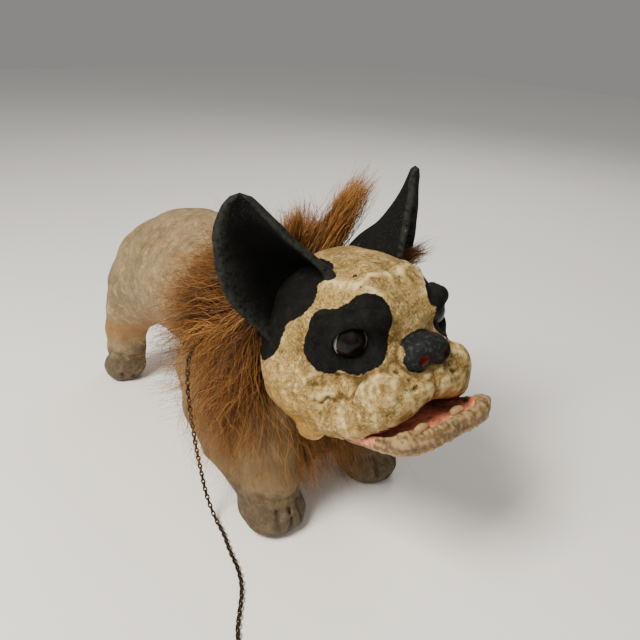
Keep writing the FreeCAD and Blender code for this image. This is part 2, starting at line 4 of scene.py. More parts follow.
import bmesh
import bpy
import numpy as np
from mathutils import Matrix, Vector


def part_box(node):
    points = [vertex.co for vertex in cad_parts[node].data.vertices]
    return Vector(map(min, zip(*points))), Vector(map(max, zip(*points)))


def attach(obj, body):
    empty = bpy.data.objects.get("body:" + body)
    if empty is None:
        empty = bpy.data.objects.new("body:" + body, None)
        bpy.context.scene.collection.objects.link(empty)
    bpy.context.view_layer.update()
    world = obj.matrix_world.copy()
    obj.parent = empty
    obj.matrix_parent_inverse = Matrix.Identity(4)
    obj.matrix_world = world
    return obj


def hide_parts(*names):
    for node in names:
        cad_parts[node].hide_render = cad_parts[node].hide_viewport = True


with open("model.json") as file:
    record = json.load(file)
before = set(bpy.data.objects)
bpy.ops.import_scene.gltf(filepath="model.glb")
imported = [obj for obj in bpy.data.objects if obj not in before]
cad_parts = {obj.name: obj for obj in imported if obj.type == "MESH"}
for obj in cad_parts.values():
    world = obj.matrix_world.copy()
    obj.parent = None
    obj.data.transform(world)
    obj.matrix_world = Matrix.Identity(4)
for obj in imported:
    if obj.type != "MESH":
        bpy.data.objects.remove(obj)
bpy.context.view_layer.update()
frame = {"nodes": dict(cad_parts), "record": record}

# A papier-mache growler bulldog. Sculpted surfaces are distance functions in millimetres,
# turned into meshes in metres. Their x is mirrored, because the dog is nearly symmetric.
# The dog faces -Y and its left side is +X.
MM = 0.001


def middle_of(node):
    low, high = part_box(node)
    return np.array((low + high) / 2) / MM


# ---- places read from the frame, in millimetres, on the dog's left side ----
EYE_SET_BACK = 2.5
EYE = middle_of("eye_backing_left")
EYE_AXIS = middle_of("eye_glass_left") - EYE
EYE_AXIS = EYE_AXIS / np.linalg.norm(EYE_AXIS)
EYE = EYE - EYE_SET_BACK * EYE_AXIS
EYE_RADIUS = 16.6
JAW_PIN = middle_of("jaw_pin")
JAW_SLOPE = math.radians(20.0)
NECK = middle_of("nod_pin")

# ---- camera ----
CAMERA_AT = (-0.336, -0.472, 0.431)
CAMERA_AZIMUTH, CAMERA_ELEVATION, CAMERA_ROLL = -41.1, 25.8, 3.0
CAMERA_LENS, SENSOR_WIDTH = 36.34, 36.0


def put_in_scene(piece, axes, at):
    """Puts an object into the scene at a point, with its x, y and z along three axes."""
    pose = Matrix.Identity(4)
    for column, axis in enumerate(axes):
        for row in range(3):
            pose[row][column] = axis[row]
    pose.translation = at
    piece.matrix_world = pose
    bpy.context.scene.collection.objects.link(piece)


def add_camera():
    a, e, r = (math.radians(v) for v in (CAMERA_AZIMUTH, CAMERA_ELEVATION, CAMERA_ROLL))
    back = np.array([math.sin(a) * math.cos(e), -math.cos(a) * math.cos(e), math.sin(e)])
    right = np.array([math.cos(a), math.sin(a), 0.0])
    up = np.cross(back, right)
    turned_right = right * math.cos(r) + up * math.sin(r)
    turned_up = up * math.cos(r) - right * math.sin(r)
    camera = bpy.data.objects.new("camera", bpy.data.cameras.new("camera"))
    camera.data.lens = CAMERA_LENS
    camera.data.sensor_width = SENSOR_WIDTH
    camera.data.clip_start = 0.01
    put_in_scene(camera, (turned_right, turned_up, back), CAMERA_AT)
    bpy.context.scene.camera = camera


# ---- distance functions ----
def ball(p, centre, radii):
    """Nearly the distance to an ellipsoid."""
    q = p - np.asarray(centre, float)
    radii = np.asarray(radii, float) * np.ones(3)
    near = np.linalg.norm(q / radii, axis=1)
    slope = np.linalg.norm(q / radii ** 2, axis=1)
    return near * (near - 1.0) / np.maximum(slope, 1e-9)


def limb(p, start, end, start_radius, end_radius):
    """Distance to a rod with round ends whose radius changes along it."""
    start, end = np.asarray(start, float), np.asarray(end, float)
    along = end - start
    t = np.clip((p - start) @ along / (along @ along), 0.0, 1.0)
    away = np.linalg.norm(p - start - t[:, None] * along, axis=1)
    return away - (start_radius + (end_radius - start_radius) * t)


def join(a, b, soft):
    """Both shapes, with a fillet about soft millimetres wide where they meet."""
    h = np.maximum(soft - np.abs(a - b), 0.0) / soft
    return np.minimum(a, b) - h ** 3 * soft / 6.0


def carve(a, b, soft):
    """The first shape without the second."""
    return -join(-a, b, soft)


def built_up(p, masses, d=None):
    """Balls joined one after the other; rows are centre, radii and softness of the join."""
    for centre, radii, soft in masses:
        mass = ball(p, centre, radii)
        d = mass if d is None else join(d, mass, soft)
    return d


def chain_of(p, beads, soft):
    """Beads are rows of x, y, z and radius, joined one to the next."""
    result = None
    for (*start, r0), (*end, r1) in zip(beads, beads[1:]):
        piece = limb(p, start, end, r0, r1)
        result = piece if result is None else join(result, piece, soft)
    return result


def rise(p, beads, width, height):
    """A soft ridge of the given height along a line of beads; a negative one is a crease."""
    nearest = None
    for start, end in zip(beads, beads[1:]):
        piece = limb(p, start, end, 0.0, 0.0)
        nearest = piece if nearest is None else np.minimum(nearest, piece)
    return height * np.exp(-(nearest / width) ** 2)


def waves(p, size, seed, count=14):
    """Smooth unevenness from -1 to 1 with features of about the given size."""
    rng = np.random.RandomState(seed)
    total = np.zeros(len(p))
    for _ in range(count):
        direction = rng.normal(size=3)
        direction *= 2 * math.pi / size / np.linalg.norm(direction)
        total += np.sin(p @ direction + rng.uniform(0, 2 * math.pi))
    return total / math.sqrt(count) / 1.6


def mirrored(p):
    q = p.copy()
    q[:, 0] = np.abs(q[:, 0])
    return q


# ---- meshes from distance functions ----
FIELD_PARTS = 12           # the field is worked out in parts, to save memory


def surface_net(shape, low, high, step):
    """One vertex to each cell that the surface crosses, joined by quads."""
    low = np.asarray(low, float)
    axes = [np.arange(low[i], high[i] + step, step) for i in range(3)]
    size = [len(a) for a in axes]
    grid = np.stack(np.meshgrid(*axes, indexing="ij"), -1).reshape(-1, 3)
    parts = [shape(part) for part in np.array_split(grid, FIELD_PARTS)]
    field = np.concatenate(parts).reshape(size)
    cells = [n - 1 for n in size]
    total = np.zeros((np.prod(cells), 3))
    count = np.zeros(np.prod(cells))
    quads = []
    for axis in range(3):
        others = [(axis + 1) % 3, (axis + 2) % 3]
        first = [slice(None)] * 3
        first[axis] = slice(0, -1)
        second = [slice(None)] * 3
        second[axis] = slice(1, None)
        a, b = field[tuple(first)], field[tuple(second)]
        crossed = np.argwhere((a < 0) != (b < 0))
        inner = np.all([(crossed[:, o] > 0) & (crossed[:, o] < size[o] - 1) for o in others],
                       axis=0)
        crossed = crossed[inner]
        at = tuple(crossed.T)
        share = a[at] / (a[at] - b[at])
        place = crossed.astype(float)
        place[:, axis] += share
        corner_ids = []
        for du, dv in ((0, 0), (-1, 0), (-1, -1), (0, -1)):
            cell = crossed.copy()
            cell[:, others[0]] += du
            cell[:, others[1]] += dv
            ids = np.ravel_multi_index(cell.T, cells)
            for column in range(3):
                total[:, column] += np.bincount(ids, place[:, column], len(total))
            count += np.bincount(ids, minlength=len(count))
            corner_ids.append(ids)
        ring = np.stack(corner_ids, 1)
        flipped = a[at] > 0
        ring[flipped] = ring[flipped][:, ::-1]
        quads.append(ring)
    quads = np.concatenate(quads)
    used, faces = np.unique(quads, return_inverse=True)
    points = total[used] / count[used][:, None] * step + low
    return points, faces.reshape(-1, 4)


def slope_of(shape, points, reach=0.3):
    result = np.empty_like(points)
    for axis in range(3):
        offset = np.zeros(3)
        offset[axis] = reach
        result[:, axis] = (shape(points + offset) - shape(points - offset)) / (2 * reach)
    return result


def settled(shape, points, rounds=3):
    """Moves the points onto the surface and returns them with their normals."""
    for _ in range(rounds):
        slope = slope_of(shape, points)
        square = np.maximum((slope ** 2).sum(1), 0.05)
        move = slope * (shape(points) / square)[:, None]
        points = points - np.clip(move, -1.5, 1.5)
    slope = slope_of(shape, points)
    return points, slope / np.linalg.norm(slope, axis=1)[:, None]


def mesh_piece(name, points, faces, values=None):
    """An object in metres from points in millimetres; values become point attributes."""
    mesh = bpy.data.meshes.new(name)
    corners = [list(map(int, face)) for face in faces]
    mesh.from_pydata((np.asarray(points) * MM).tolist(), [], corners)
    for key, value in (values or {}).items():
        attribute = mesh.attributes.new(key, "FLOAT", "POINT")
        attribute.data.foreach_set("value", np.asarray(value, np.float32))
    mesh.polygons.foreach_set("use_smooth", [True] * len(mesh.polygons))
    mesh.update()
    piece = bpy.data.objects.new(name, mesh)
    bpy.context.scene.collection.objects.link(piece)
    return piece


def band(steps, around):
    """Quads between rings of points, each ring with that many points."""
    return [(r + k, r + (k + 1) % around, r + around + (k + 1) % around, r + around + k)
            for r in range(0, steps * around, around) for k in range(around)]


def hollowness(points, faces, rounds=6):
    """Over 0 in creases, under 0 on ridges: how far the neighbours' middle stands out."""
    quads = np.asarray(faces)
    a, b = quads.ravel(), np.roll(quads, -1, axis=1).ravel()
    count = len(points)
    number = np.bincount(a, minlength=count) + np.bincount(b, minlength=count)
    average = points
    for _ in range(rounds):
        total = np.zeros_like(points)
        for column in range(3):
            total[:, column] = (np.bincount(a, average[b, column], count)
                                + np.bincount(b, average[a, column], count))
        average = total / number[:, None]
    return average - points


def sculpt(name, shape, low, high, step, masks):
    """A finished sculpted piece with its paint masks and its crease value as attributes."""
    points, faces = surface_net(shape, low, high, step)
    points, normals = settled(shape, points)
    crease = (hollowness(points, faces) * normals).sum(1)
    values = {"crease": crease / step}
    values.update(masks(points, normals))
    return mesh_piece(name, points, faces, values)


# ---- materials ----
class Material:
    """A node material built from the object's own coordinates and point attributes."""

    def __init__(self, name, roughness=0.8, metallic=0.0, specular=0.5):
        self.material = bpy.data.materials.new(name)
        self.material.use_nodes = True
        self.tree = self.material.node_tree
        self.shader = self.tree.nodes["Principled BSDF"]
        self.shader.inputs["Roughness"].default_value = roughness
        self.shader.inputs["Metallic"].default_value = metallic
        self.shader.inputs["Specular IOR Level"].default_value = specular
        self.place = self.tree.nodes.new("ShaderNodeTexCoord").outputs["Object"]

    def put(self, socket, value):
        if isinstance(value, bpy.types.NodeSocket):
            self.tree.links.new(value, socket)
        elif isinstance(value, (tuple, list)) and len(value) == 3 and socket.type == "RGBA":
            socket.default_value = (*value, 1.0)
        else:
            socket.default_value = value

    def noise(self, size, detail=4.0, roughness=0.6, distortion=0.0, stretch=None):
        """Noise from 0 to 1 with features of about the given size in metres."""
        node = self.tree.nodes.new("ShaderNodeTexNoise")
        place = self.place
        if stretch:
            mapping = self.tree.nodes.new("ShaderNodeMapping")
            self.put(mapping.inputs["Vector"], self.place)
            mapping.inputs["Scale"].default_value = stretch
            place = mapping.outputs["Vector"]
        self.put(node.inputs["Vector"], place)
        node.inputs["Scale"].default_value = 1.0 / size
        node.inputs["Detail"].default_value = detail
        node.inputs["Roughness"].default_value = roughness
        node.inputs["Distortion"].default_value = distortion
        return node.outputs["Fac"]

    def cells(self, size):
        """Distance to the edges of cells of about the given size in metres."""
        node = self.tree.nodes.new("ShaderNodeTexVoronoi")
        node.feature = "DISTANCE_TO_EDGE"
        self.put(node.inputs["Vector"], self.place)
        node.inputs["Scale"].default_value = 1.0 / size
        return node.outputs["Distance"]

    def value(self, name):
        node = self.tree.nodes.new("ShaderNodeAttribute")
        node.attribute_name = name
        return node.outputs["Fac"]

    def broken(self, name, size):
        """A point value broken up by noise with features of about the given size."""
        return self.math("ADD", self.value(name), self.noise(size, 4.0, 0.6))

    def math(self, operation, a, b=0.0):
        node = self.tree.nodes.new("ShaderNodeMath")
        node.operation = operation
        self.put(node.inputs[0], a)
        self.put(node.inputs[1], b)
        return node.outputs[0]

    def step(self, value, low, high, to_low=0.0, to_high=1.0):
        """A value stretched from one range to another, held at its ends."""
        node = self.tree.nodes.new("ShaderNodeMapRange")
        node.interpolation_type = "SMOOTHSTEP"
        self.put(node.inputs["Value"], value)
        for key, number in (("From Min", low), ("From Max", high),
                            ("To Min", to_low), ("To Max", to_high)):
            node.inputs[key].default_value = number
        return node.outputs["Result"]

    def mix(self, factor, a, b):
        node = self.tree.nodes.new("ShaderNodeMix")
        node.data_type = "RGBA"
        self.put(node.inputs[0], factor)
        self.put(node.inputs[6], a)
        self.put(node.inputs[7], b)
        return node.outputs[2]

    def over(self, colour, top, factor, low, high, share=1.0):
        """A colour that gets up to that share of another as a value goes from low to high."""
        return self.mix(self.step(factor, low, high, 0.0, share), colour, top)

    def bump(self, height, distance, strength):
        node = self.tree.nodes.new("ShaderNodeBump")
        self.put(node.inputs["Height"], height)
        node.inputs["Distance"].default_value = distance
        node.inputs["Strength"].default_value = strength
        return node.outputs["Normal"]

    def finish(self, colour, normal=None, roughness=None):
        self.put(self.shader.inputs["Base Color"], colour)
        if normal is not None:
            self.put(self.shader.inputs["Normal"], normal)
        if roughness is not None:
            self.put(self.shader.inputs["Roughness"], roughness)
        return self.material


def paint(piece, material):
    piece.data.materials.clear()
    piece.data.materials.append(material)


def shaded(colour, share):
    return tuple(share * c for c in colour)


# linear colours
CREAM = (0.37, 0.245, 0.085)
CREAM_LIGHT = (0.70, 0.555, 0.275)
CREAM_DARK = (0.085, 0.050, 0.015)
AMBER = (0.33, 0.165, 0.035)
BLACK = (0.0035, 0.0035, 0.0035)
BLACK_DUST = (0.017, 0.017, 0.016)
NOSE_GREY = (0.009, 0.010, 0.011)
PINK = (0.80, 0.30, 0.18)
PINK_DARK = (0.45, 0.11, 0.06)
PINK_WORN = (0.80, 0.50, 0.34)
LEG_BROWN = (0.135, 0.083, 0.036)
# Orange for the painted glow of reflected light on the body's underside and low haunch.
PAINTED_GLOW_ORANGE = (0.24, 0.10, 0.022)


def aged_paint(m, base, light, dark, grit=0.8):
    """Mottled, dusty, worn paint over papier-mache, with painted shade in its creases: its colour
    and its bump height.
    """
    wide = m.noise(0.030, 3.0, 0.55)
    patchy = m.noise(0.009, 7.0, 0.72, 0.4)
    grain = m.noise(0.0024, 5.0, 0.8)
    specks = m.noise(0.0011, 3.0, 0.8)
    colour = m.over(base, shaded(base, 0.6), wide, 0.44, 0.66, 0.8)
    colour = m.over(colour, dark, patchy, 0.50, 0.66, 0.75)
    colour = m.over(colour, light, patchy, 0.48, 0.34, 0.65)
    colour = m.over(colour, dark, grain, 0.50, 0.62, grit)
    colour = m.over(colour, light, grain, 0.46, 0.36, 0.6 * grit)
    colour = m.over(colour, shaded(dark, 0.6), specks, 0.54, 0.64, grit)
    crease = m.value("crease")
    # Painted shade: the paint is darker in the creases.
    colour = m.over(colour, shaded(dark, 0.6), crease, 0.03, 0.40, 0.80)
    worn = m.math("ADD", crease, m.step(grain, 0.3, 0.7, 0.12, -0.12))
    colour = m.over(colour, light, worn, -0.10, -0.36, 0.75)
    height = m.math("ADD", m.math("MULTIPLY", grain, 0.6), m.math("MULTIPLY", patchy, 0.9))
    return colour, height


def masked(m, colour, mask, edge, over):
    """Paint of another colour where a mask in millimetres is under zero, with a ragged edge."""
    unevenness = m.step(m.noise(0.0035, 4.0, 0.7), 0.25, 0.75, -edge, edge)
    ragged = m.math("ADD", m.value(mask), unevenness)
    return m.mix(m.step(ragged, 0.35, -0.35), colour, over)


def black_paint(m):
    dust = m.noise(0.0016, 4.0, 0.75)
    colour = m.over(BLACK, BLACK_DUST, dust, 0.52, 0.72)
    return m.mix(m.step(m.noise(0.012, 4.0, 0.6), 0.48, 0.75, 0.0, 0.5), colour, BLACK_DUST)


def head_material():
    m = Material("head_paint", 0.8, specular=0.10)
    colour, height = aged_paint(m, CREAM, CREAM_LIGHT, CREAM_DARK)
    colour = m.over(colour, AMBER, m.broken("warm_tint_and_glow", 0.02), 0.55, 1.3, 0.8)
    pale = m.math("MULTIPLY", m.value("ridge"), m.step(m.noise(0.004, 4.0, 0.7), 0.40, 0.60))
    colour = m.mix(m.math("MULTIPLY", pale, 0.8), colour, CREAM_LIGHT)
    hair_cracks = m.math("ABSOLUTE", m.math("SUBTRACT", m.noise(0.012, 3.0, 0.6, 1.2), 0.5))
    cracks = m.math("MULTIPLY", m.step(hair_cracks, 0.012, 0.0), m.step(m.noise(0.03), 0.45, 0.6))
    colour = m.mix(m.math("MULTIPLY", cracks, 0.6), colour, (0.10, 0.060, 0.024))
    colour = masked(m, colour, "chips", 0.8, BLACK)
    colour = masked(m, colour, "whisker", 0.8, (0.045, 0.026, 0.012))
    colour = masked(m, colour, "black", 0.7, black_paint(m))
    grey = m.over(NOSE_GREY, (0.040, 0.044, 0.046), m.noise(0.003, 4.0), 0.45, 0.75)
    colour = masked(m, colour, "nose", 0.5, grey)
    colour = masked(m, colour, "nostril", 0.3, (0.13, 0.018, 0.01))
    # Painted shade: the downward faces inside the upper mouth are dark red, partly their own
    # colour and partly shade under the lip.
    colour = masked(m, colour, "mouth", 1.0, (0.10, 0.022, 0.014))
    normal = m.bump(height, 0.0009, 0.8)
    rough = m.step(m.noise(0.006), 0.3, 0.7, 0.65, 0.9)
    return m.finish(colour, normal, rough)


def ear_material():
    m = Material("ear_paint", 0.9, specular=0.10)
    dust = m.noise(0.0012, 5.0, 0.8)
    colour = m.mix(m.step(dust, 0.50, 0.68), (0.004, 0.004, 0.004), (0.030, 0.030, 0.027))
    # Painted shade: the inside of the ear's cup is darker.
    colour = m.over(colour, (0.002, 0.002, 0.002), m.value("hollow"), 0.25, 0.7)
    worn = m.math("MULTIPLY", m.step(m.value("rim"), 0.3, 0.9), m.step(m.noise(0.004), 0.3, 0.6))
    colour = m.mix(worn, colour, (0.024, 0.026, 0.023))
    colour = m.over(colour, (0.25, 0.23, 0.18), m.noise(0.004, 2.0, 0.5), 0.76, 0.79)
    height = m.math("ADD", m.noise(0.003, 4.0, 0.75), m.math("MULTIPLY", dust, 0.6))
    return m.finish(colour, m.bump(height, 0.0010, 0.9))


def body_material():
    m = Material("body_paint", 0.8, specular=0.25)
    colour, height = aged_paint(m, (0.255, 0.185, 0.098), (0.42, 0.335, 0.205),
                                (0.13, 0.086, 0.040), 0.55)
    colour = m.over(colour, LEG_BROWN, m.broken("leg", 0.02), 0.55, 1.25, 0.75)
    # Painted reflected light: an orange glow on the underside and the low haunch. On the head the
    # same attribute carries a warmer amber tint.
    colour = m.over(colour, PAINTED_GLOW_ORANGE, m.broken("warm_tint_and_glow", 0.03), 0.7, 1.5, 0.6)
    unevenness = m.step(m.noise(0.01, 4.0, 0.6), 0.3, 0.7, -0.25, 0.25)
    paws = m.math("ADD", m.value("paw"), unevenness)
    spots = m.step(m.noise(0.006, 5.0, 0.7), 0.4, 0.7)
    # The paws and the lowest parts get darker towards the floor, in spots.
    low_dark_colour = m.mix(spots, (0.062, 0.045, 0.027), (0.13, 0.098, 0.06))
    colour = m.over(colour, low_dark_colour, paws, 0.2, 0.9, 0.9)
    # Painted shade: the toe grooves are darkened.
    colour = m.over(colour, (0.016, 0.010, 0.006), m.value("groove"), 1.4, -0.8, 0.8)
    rough = m.step(m.noise(0.02), 0.3, 0.7, 0.6, 0.85)
    return m.finish(colour, m.bump(height, 0.0009, 0.7), rough)


def jaw_material():
    m = Material("jaw_paint", 0.6)
    colour, height = aged_paint(m, (0.19, 0.105, 0.036), (0.37, 0.25, 0.11),
                                (0.045, 0.025, 0.010))
    unevenness = m.step(m.noise(0.005, 5.0, 0.7), 0.3, 0.7, -1.6, 1.6)
    flaking = m.math("ADD", m.value("pink"), unevenness)
    rosy = m.over(PINK, PINK_DARK, m.noise(0.008, 4.0, 0.6), 0.42, 0.70)
    rosy = m.over(rosy, PINK_WORN, m.noise(0.003, 4.0, 0.7), 0.55, 0.72, 0.6)
    colour = m.over(colour, rosy, flaking, 0.5, -0.5)
    return m.finish(colour, m.bump(height, 0.0012, 0.9))


def eye_material():
    m = Material("eye_enamel", 0.28, specular=0.14)
    flecks = m.step(m.noise(0.004, 3.0), 0.4, 0.7)
    iris = m.mix(flecks, (0.004, 0.003, 0.003), (0.014, 0.008, 0.005))
    colour = m.over(iris, (0.20, 0.215, 0.21), m.value("white"), 0.4, 0.6)
    colour = m.over(colour, (0.001, 0.001, 0.001), m.value("pupil"), 0.4, 0.6)
    m.shader.inputs["Coat Weight"].default_value = 0.06
    m.shader.inputs["Coat Roughness"].default_value = 0.12
    return m.finish(colour)


def hair_material(name, dark, middle, light):
    m = Material(name, 0.55, specular=0.35)
    tone = m.value("tone")
    colour = m.over(dark, middle, tone, 0.05, 0.5)
    colour = m.over(colour, light, tone, 0.55, 1.0)
    # Painted shade: the strands get darker towards their roots, deep in the ruff.
    colour = m.over(colour, shaded(dark, 0.35), m.value("along"), 0.35, 0.0, 0.75)
    colour = m.over(colour, light, m.value("along"), 0.7, 1.0, 0.45)
    return m.finish(colour)


def metal_material(name, colour, dark, roughness=0.4, metallic=0.9):
    m = Material(name, roughness, metallic)
    tarnish = m.noise(0.003, 5.0, 0.7)
    shade = m.over(colour, dark, tarnish, 0.42, 0.68)
    rough = m.step(tarnish, 0.3, 0.7, roughness, min(1.0, roughness + 0.3))
    return m.finish(shade, m.bump(tarnish, 0.0002, 0.5), rough)


def wood_material():
    m = Material("old_wood", 0.65)
    grain = m.noise(0.006, 5.0, 0.6, 0.4, stretch=(1.0, 0.12, 1.0))
    fine = m.noise(0.0015, 4.0, 0.7, 0.0, stretch=(1.0, 0.1, 1.0))
    colour = m.mix(m.step(grain, 0.35, 0.68), (0.42, 0.26, 0.12), (0.17, 0.09, 0.035))
    colour = m.over(colour, (0.08, 0.045, 0.02), fine, 0.5, 0.8, 0.5)
    return m.finish(colour, m.bump(fine, 0.0003, 0.6))


def leather_material():
    m = Material("old_leather", 0.6)
    folds = m.cells(0.0022)
    wear = m.noise(0.008, 5.0, 0.65)
    colour = m.mix(m.step(wear, 0.4, 0.7), (0.10, 0.052, 0.026), (0.20, 0.115, 0.06))
    colour = m.over(colour, (0.03, 0.016, 0.01), folds, 0.12, 0.0, 0.6)
    return m.finish(colour, m.bump(folds, 0.0003, 0.7))


def fibre_cord_material():
    m = Material("cord_fibre", 0.85)
    twist = m.noise(0.0012, 3.0, 0.6, 0.0, stretch=(1.0, 0.25, 1.0))
    colour = m.mix(m.step(twist, 0.35, 0.65), (0.50, 0.42, 0.28), (0.24, 0.18, 0.10))
    return m.finish(colour, m.bump(twist, 0.0004, 0.8))


# ---- head ----
# Masses are balls: centre, radii, softness of the join. Beads are x, y, z and radius, and
# lines are x, y and z. Ridges and creases add the width and the height, creases under zero.
SKULL = [((0, -124, 194), (71, 65, 65), 0), ((0, -152, 207), (57, 45, 53), 14),
         ((44, -128, 166), (34, 48, 43), 18), ((0, -176, 180), (55, 42, 34), 16),
         ((0, -118, 145), (52, 42, 32), 18)]
MUZZLE_SIDE = [((35, -200, 182), (22, 20, 19), 8), ((50, -142, 130), (13, 15, 17), 10)]
NOSE = [((0, -206, 210), (18, 13, 10), 0), ((12, -205, 205), (11.5, 14, 11), 6)]
UPPER_LIP = [(45, -146, 143, 17), (46, -166, 148, 18), (45, -186, 157, 18), (38, -200, 168, 18),
             (24, -208, 177, 16), (9, -211, 182, 13)]
LOWER_LID = [(66, -158, 208, 4), (60, -170, 199, 5), (46, -184, 195, 5), (32, -193, 201, 5)]
BROW = [(60, -158, 225, 5.5), (50, -170, 229, 6), (39, -182, 233, 7), (29, -187, 231, 7)]
FORELOCK = [(46, -130, 250), (36, -156, 252), (26, -172, 248), (20, -182, 240)]
HEAD_LINES = [
    (FORELOCK, 5, 2.0),
    ([(6, -168, 255), (20, -163, 257), (36, -164, 251), (46, -168, 243)], 4, 1.6),
    ([(30, -204, 203), (42, -197, 193), (56, -182, 185), (67, -160, 178)], 5, -3.0),
    ([(70, -140, 178), (66, -146, 158), (62, -146, 140)], 8, -2.0),
    ([(0, -136, 268), (1, -160, 259), (0, -182, 246), (0, -196, 228)], 5, -2.4),
    ([(0, -222, 191), (0, -226, 182), (0, -222, 166)], 3.5, -4.5)]
MUZZLE_FOLDS = [[(18, -216, 187), (30, -217, 183), (42, -209, 180)],
                [(28, -217, 176), (42, -211, 173), (54, -194, 168)],
                [(50, -193, 180), (60, -176, 172), (64, -160, 160)],
                [(20, -212, 200), (30, -206, 196), (40, -200, 188)]]
FOLD_WIDTH, FOLD_HEIGHT, FOLD_SHAKE = 2.2, -2.0, 1.8
NOSE_LINES = [
    ([(0, -200, 225), (12, -199, 223), (24, -195, 217)], 4, -3.5),
    ([(21, -200, 216), (25, -207, 206), (19, -214, 197), (10, -221, 192), (0, -223, 190)],
     2.2, -2.0)]
EYE_SOCKET_AHEAD, EYE_SOCKET = 3, 18.5
EYE_OPENING = ((0, -0.5, 20), (17.2, 13.6, 14.6))       # in the eye's own directions
MOUTH_HALF, MOUTH_FLARE, MOUTH_BACK, MOUTH_TOP, MOUTH_ARCH = 46.0, 8.0, -4.0, -6.0, 12.0
NOSTRIL = (12.0, -217.5, 207.0)


def eye_frame():
    """The eye's own directions as columns: across, up and ahead."""
    across = np.cross((0.0, 0.0, 1.0), EYE_AXIS)
    across /= np.linalg.norm(across)
    return np.stack([across, np.cross(EYE_AXIS, across), EYE_AXIS], 1)


def jaw_coordinates(p):
    """Millimetres across, forward from the jaw pin along the jaw, and up from its plane."""
    y, z = p[:, 1] - JAW_PIN[1], p[:, 2] - JAW_PIN[2]
    c, s = math.cos(JAW_SLOPE), math.sin(JAW_SLOPE)
    return np.stack([p[:, 0], -c * y + s * z, s * y + c * z], 1)


def mouth_room(p):
    """The open mouth: wider at its front, and arched up in the middle."""
    j = jaw_coordinates(p)
    middle = np.clip(1.0 - np.abs(j[:, 0]) / 50.0, 0, 1) ** 1.2
    arch = MOUTH_ARCH * middle * np.clip((j[:, 1] - 45.0) / 30.0, 0, 1)
    flare = MOUTH_FLARE * np.clip((j[:, 1] - 60.0) / 15.0, 0, 1)
    edge = np.maximum(np.abs(j[:, 0]) - MOUTH_HALF - flare, MOUTH_BACK - j[:, 1])
    return np.maximum(edge, j[:, 2] - MOUTH_TOP - arch)


def head_shape(p):
    p = mirrored(p)
    d = join(built_up(p, SKULL), chain_of(p, UPPER_LIP, 6), 9)
    d = built_up(p, MUZZLE_SIDE, d)
    d = join(d, ball(p, EYE + EYE_SOCKET_AHEAD * EYE_AXIS, EYE_SOCKET), 9)
    d = join(d, chain_of(p, BROW, 4), 8)
    d = join(d, chain_of(p, LOWER_LID, 3), 6)
    for line in HEAD_LINES:
        d = d - rise(p, *line)
    shaken = p + FOLD_SHAKE * np.stack([waves(p, 11, 60 + i) for i in range(3)], 1)
    for fold in MUZZLE_FOLDS:
        d = d - rise(shaken, fold, FOLD_WIDTH, FOLD_HEIGHT)
    d = join(d, built_up(p, NOSE), 3)
    for line in NOSE_LINES:
        d = d - rise(p, *line)
    d = carve(d, ball(p, NOSTRIL, (4.0, 5.0, 3.4)), 2.5)
    lumpy = np.clip((228.0 - p[:, 2]) / 30.0, 0.35, 1.0)
    d = d + 0.9 * waves(p, 34, 3) + lumpy * (0.5 * waves(p, 13, 4) + 0.25 * waves(p, 5.5, 5))
    d = carve(d, ball((p - EYE) @ eye_frame(), *EYE_OPENING), 2.0)
    return carve(d, mouth_room(p), 4.0)


# painted shapes, as masses
PATCH = [((43, -176, 216), (23, 26, 26), 0), ((34, -180, 234), (16, 18, 16), 5),
         ((58, -160, 205), (12, 20, 18), 5), ((56, -158, 224), (13, 14, 11), 5)]
EAR_PAINT = [((52, -112, 234), (24, 32, 26), 0), ((50, -128, 240), (13, 18, 16), 8),
             ((66, -112, 208), (16, 19, 26), 8), ((35, -122, 252), (18, 20, 14), 8),
             ((70, -104, 193), (14, 18, 18), 8)]
EAR_PAINT_IN, EAR_PAINT_BACK = 6.0, 5.0     # the paint's offset; in on the left, out on the right
NOSE_PAINT = [((0, -208, 211), (20.5, 20, 11), 0), ((12, -210, 205), (11, 17, 9.5), 4)]
NOSE_PAINT_BACK = -194.0
WHISKERS = [(-30, -217, 188), (-44, -208, 186), (-42, -212, 176), (30, -217, 188),
            (43, -209, 184), (-24, -213, 193)]
CHIPS = [(-27, -154, 255), (-31, -165, 250), (20, -150, 260)]
DOT = 1.9


def dots(p, places):
    return np.min([ball(p, at, DOT) for at in places], axis=0)


def head_masks(points, normals):
    """Millimetres outside each painted shape, and shares of the warm tint and the pale ridge."""
    p = mirrored(points)
    patch = built_up(p, PATCH) + 0.7 * waves(points, 14, 7)
    moved = np.where(points[:, 0] > 0, EAR_PAINT_IN, -EAR_PAINT_IN)
    ear_side = p + np.stack([moved, 0 * moved - EAR_PAINT_BACK, 0 * moved], 1)
    ear = built_up(ear_side, EAR_PAINT) + 1.0 * waves(points, 18, 9)
    back = -86.0 - p[:, 1] + 1.5 * waves(points, 20, 8)
    nose = np.maximum(built_up(p, NOSE_PAINT), p[:, 1] - NOSE_PAINT_BACK)
    j = jaw_coordinates(p)
    # The mouth mask takes the downward faces inside the upper mouth, which are painted dark as
    # shade under the lip.
    mouth = np.maximum(normals[:, 2] * 10 + 4.0, np.abs(j[:, 0]) - 48.0)
    low = np.clip((175.0 - p[:, 2]) / 50.0, 0.0, 1.0)
    side = np.clip((p[:, 1] + 190.0) / 60.0, 0.0, 1.0)
    return {"black": np.minimum(np.minimum(patch, ear), back),
            "nose": nose + 0.5 * waves(points, 9, 10),
            "nostril": ball(p, NOSTRIL, (4.4, 6.5, 4.0)),
            "mouth": np.maximum(mouth, j[:, 2] - 4.0),
            "whisker": dots(points, WHISKERS), "chips": dots(points, CHIPS),
            "warm_tint_and_glow": low * side, "ridge": rise(p, FORELOCK, 5, 1.0)}


def build_head():
    head = sculpt("head_shell", head_shape, (-88, -236, 104), (88, -52, 276), 1.6,
                  head_masks)
    paint(head, head_material())
    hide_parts("face_shell", "skull_shell")
    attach(head, "head")


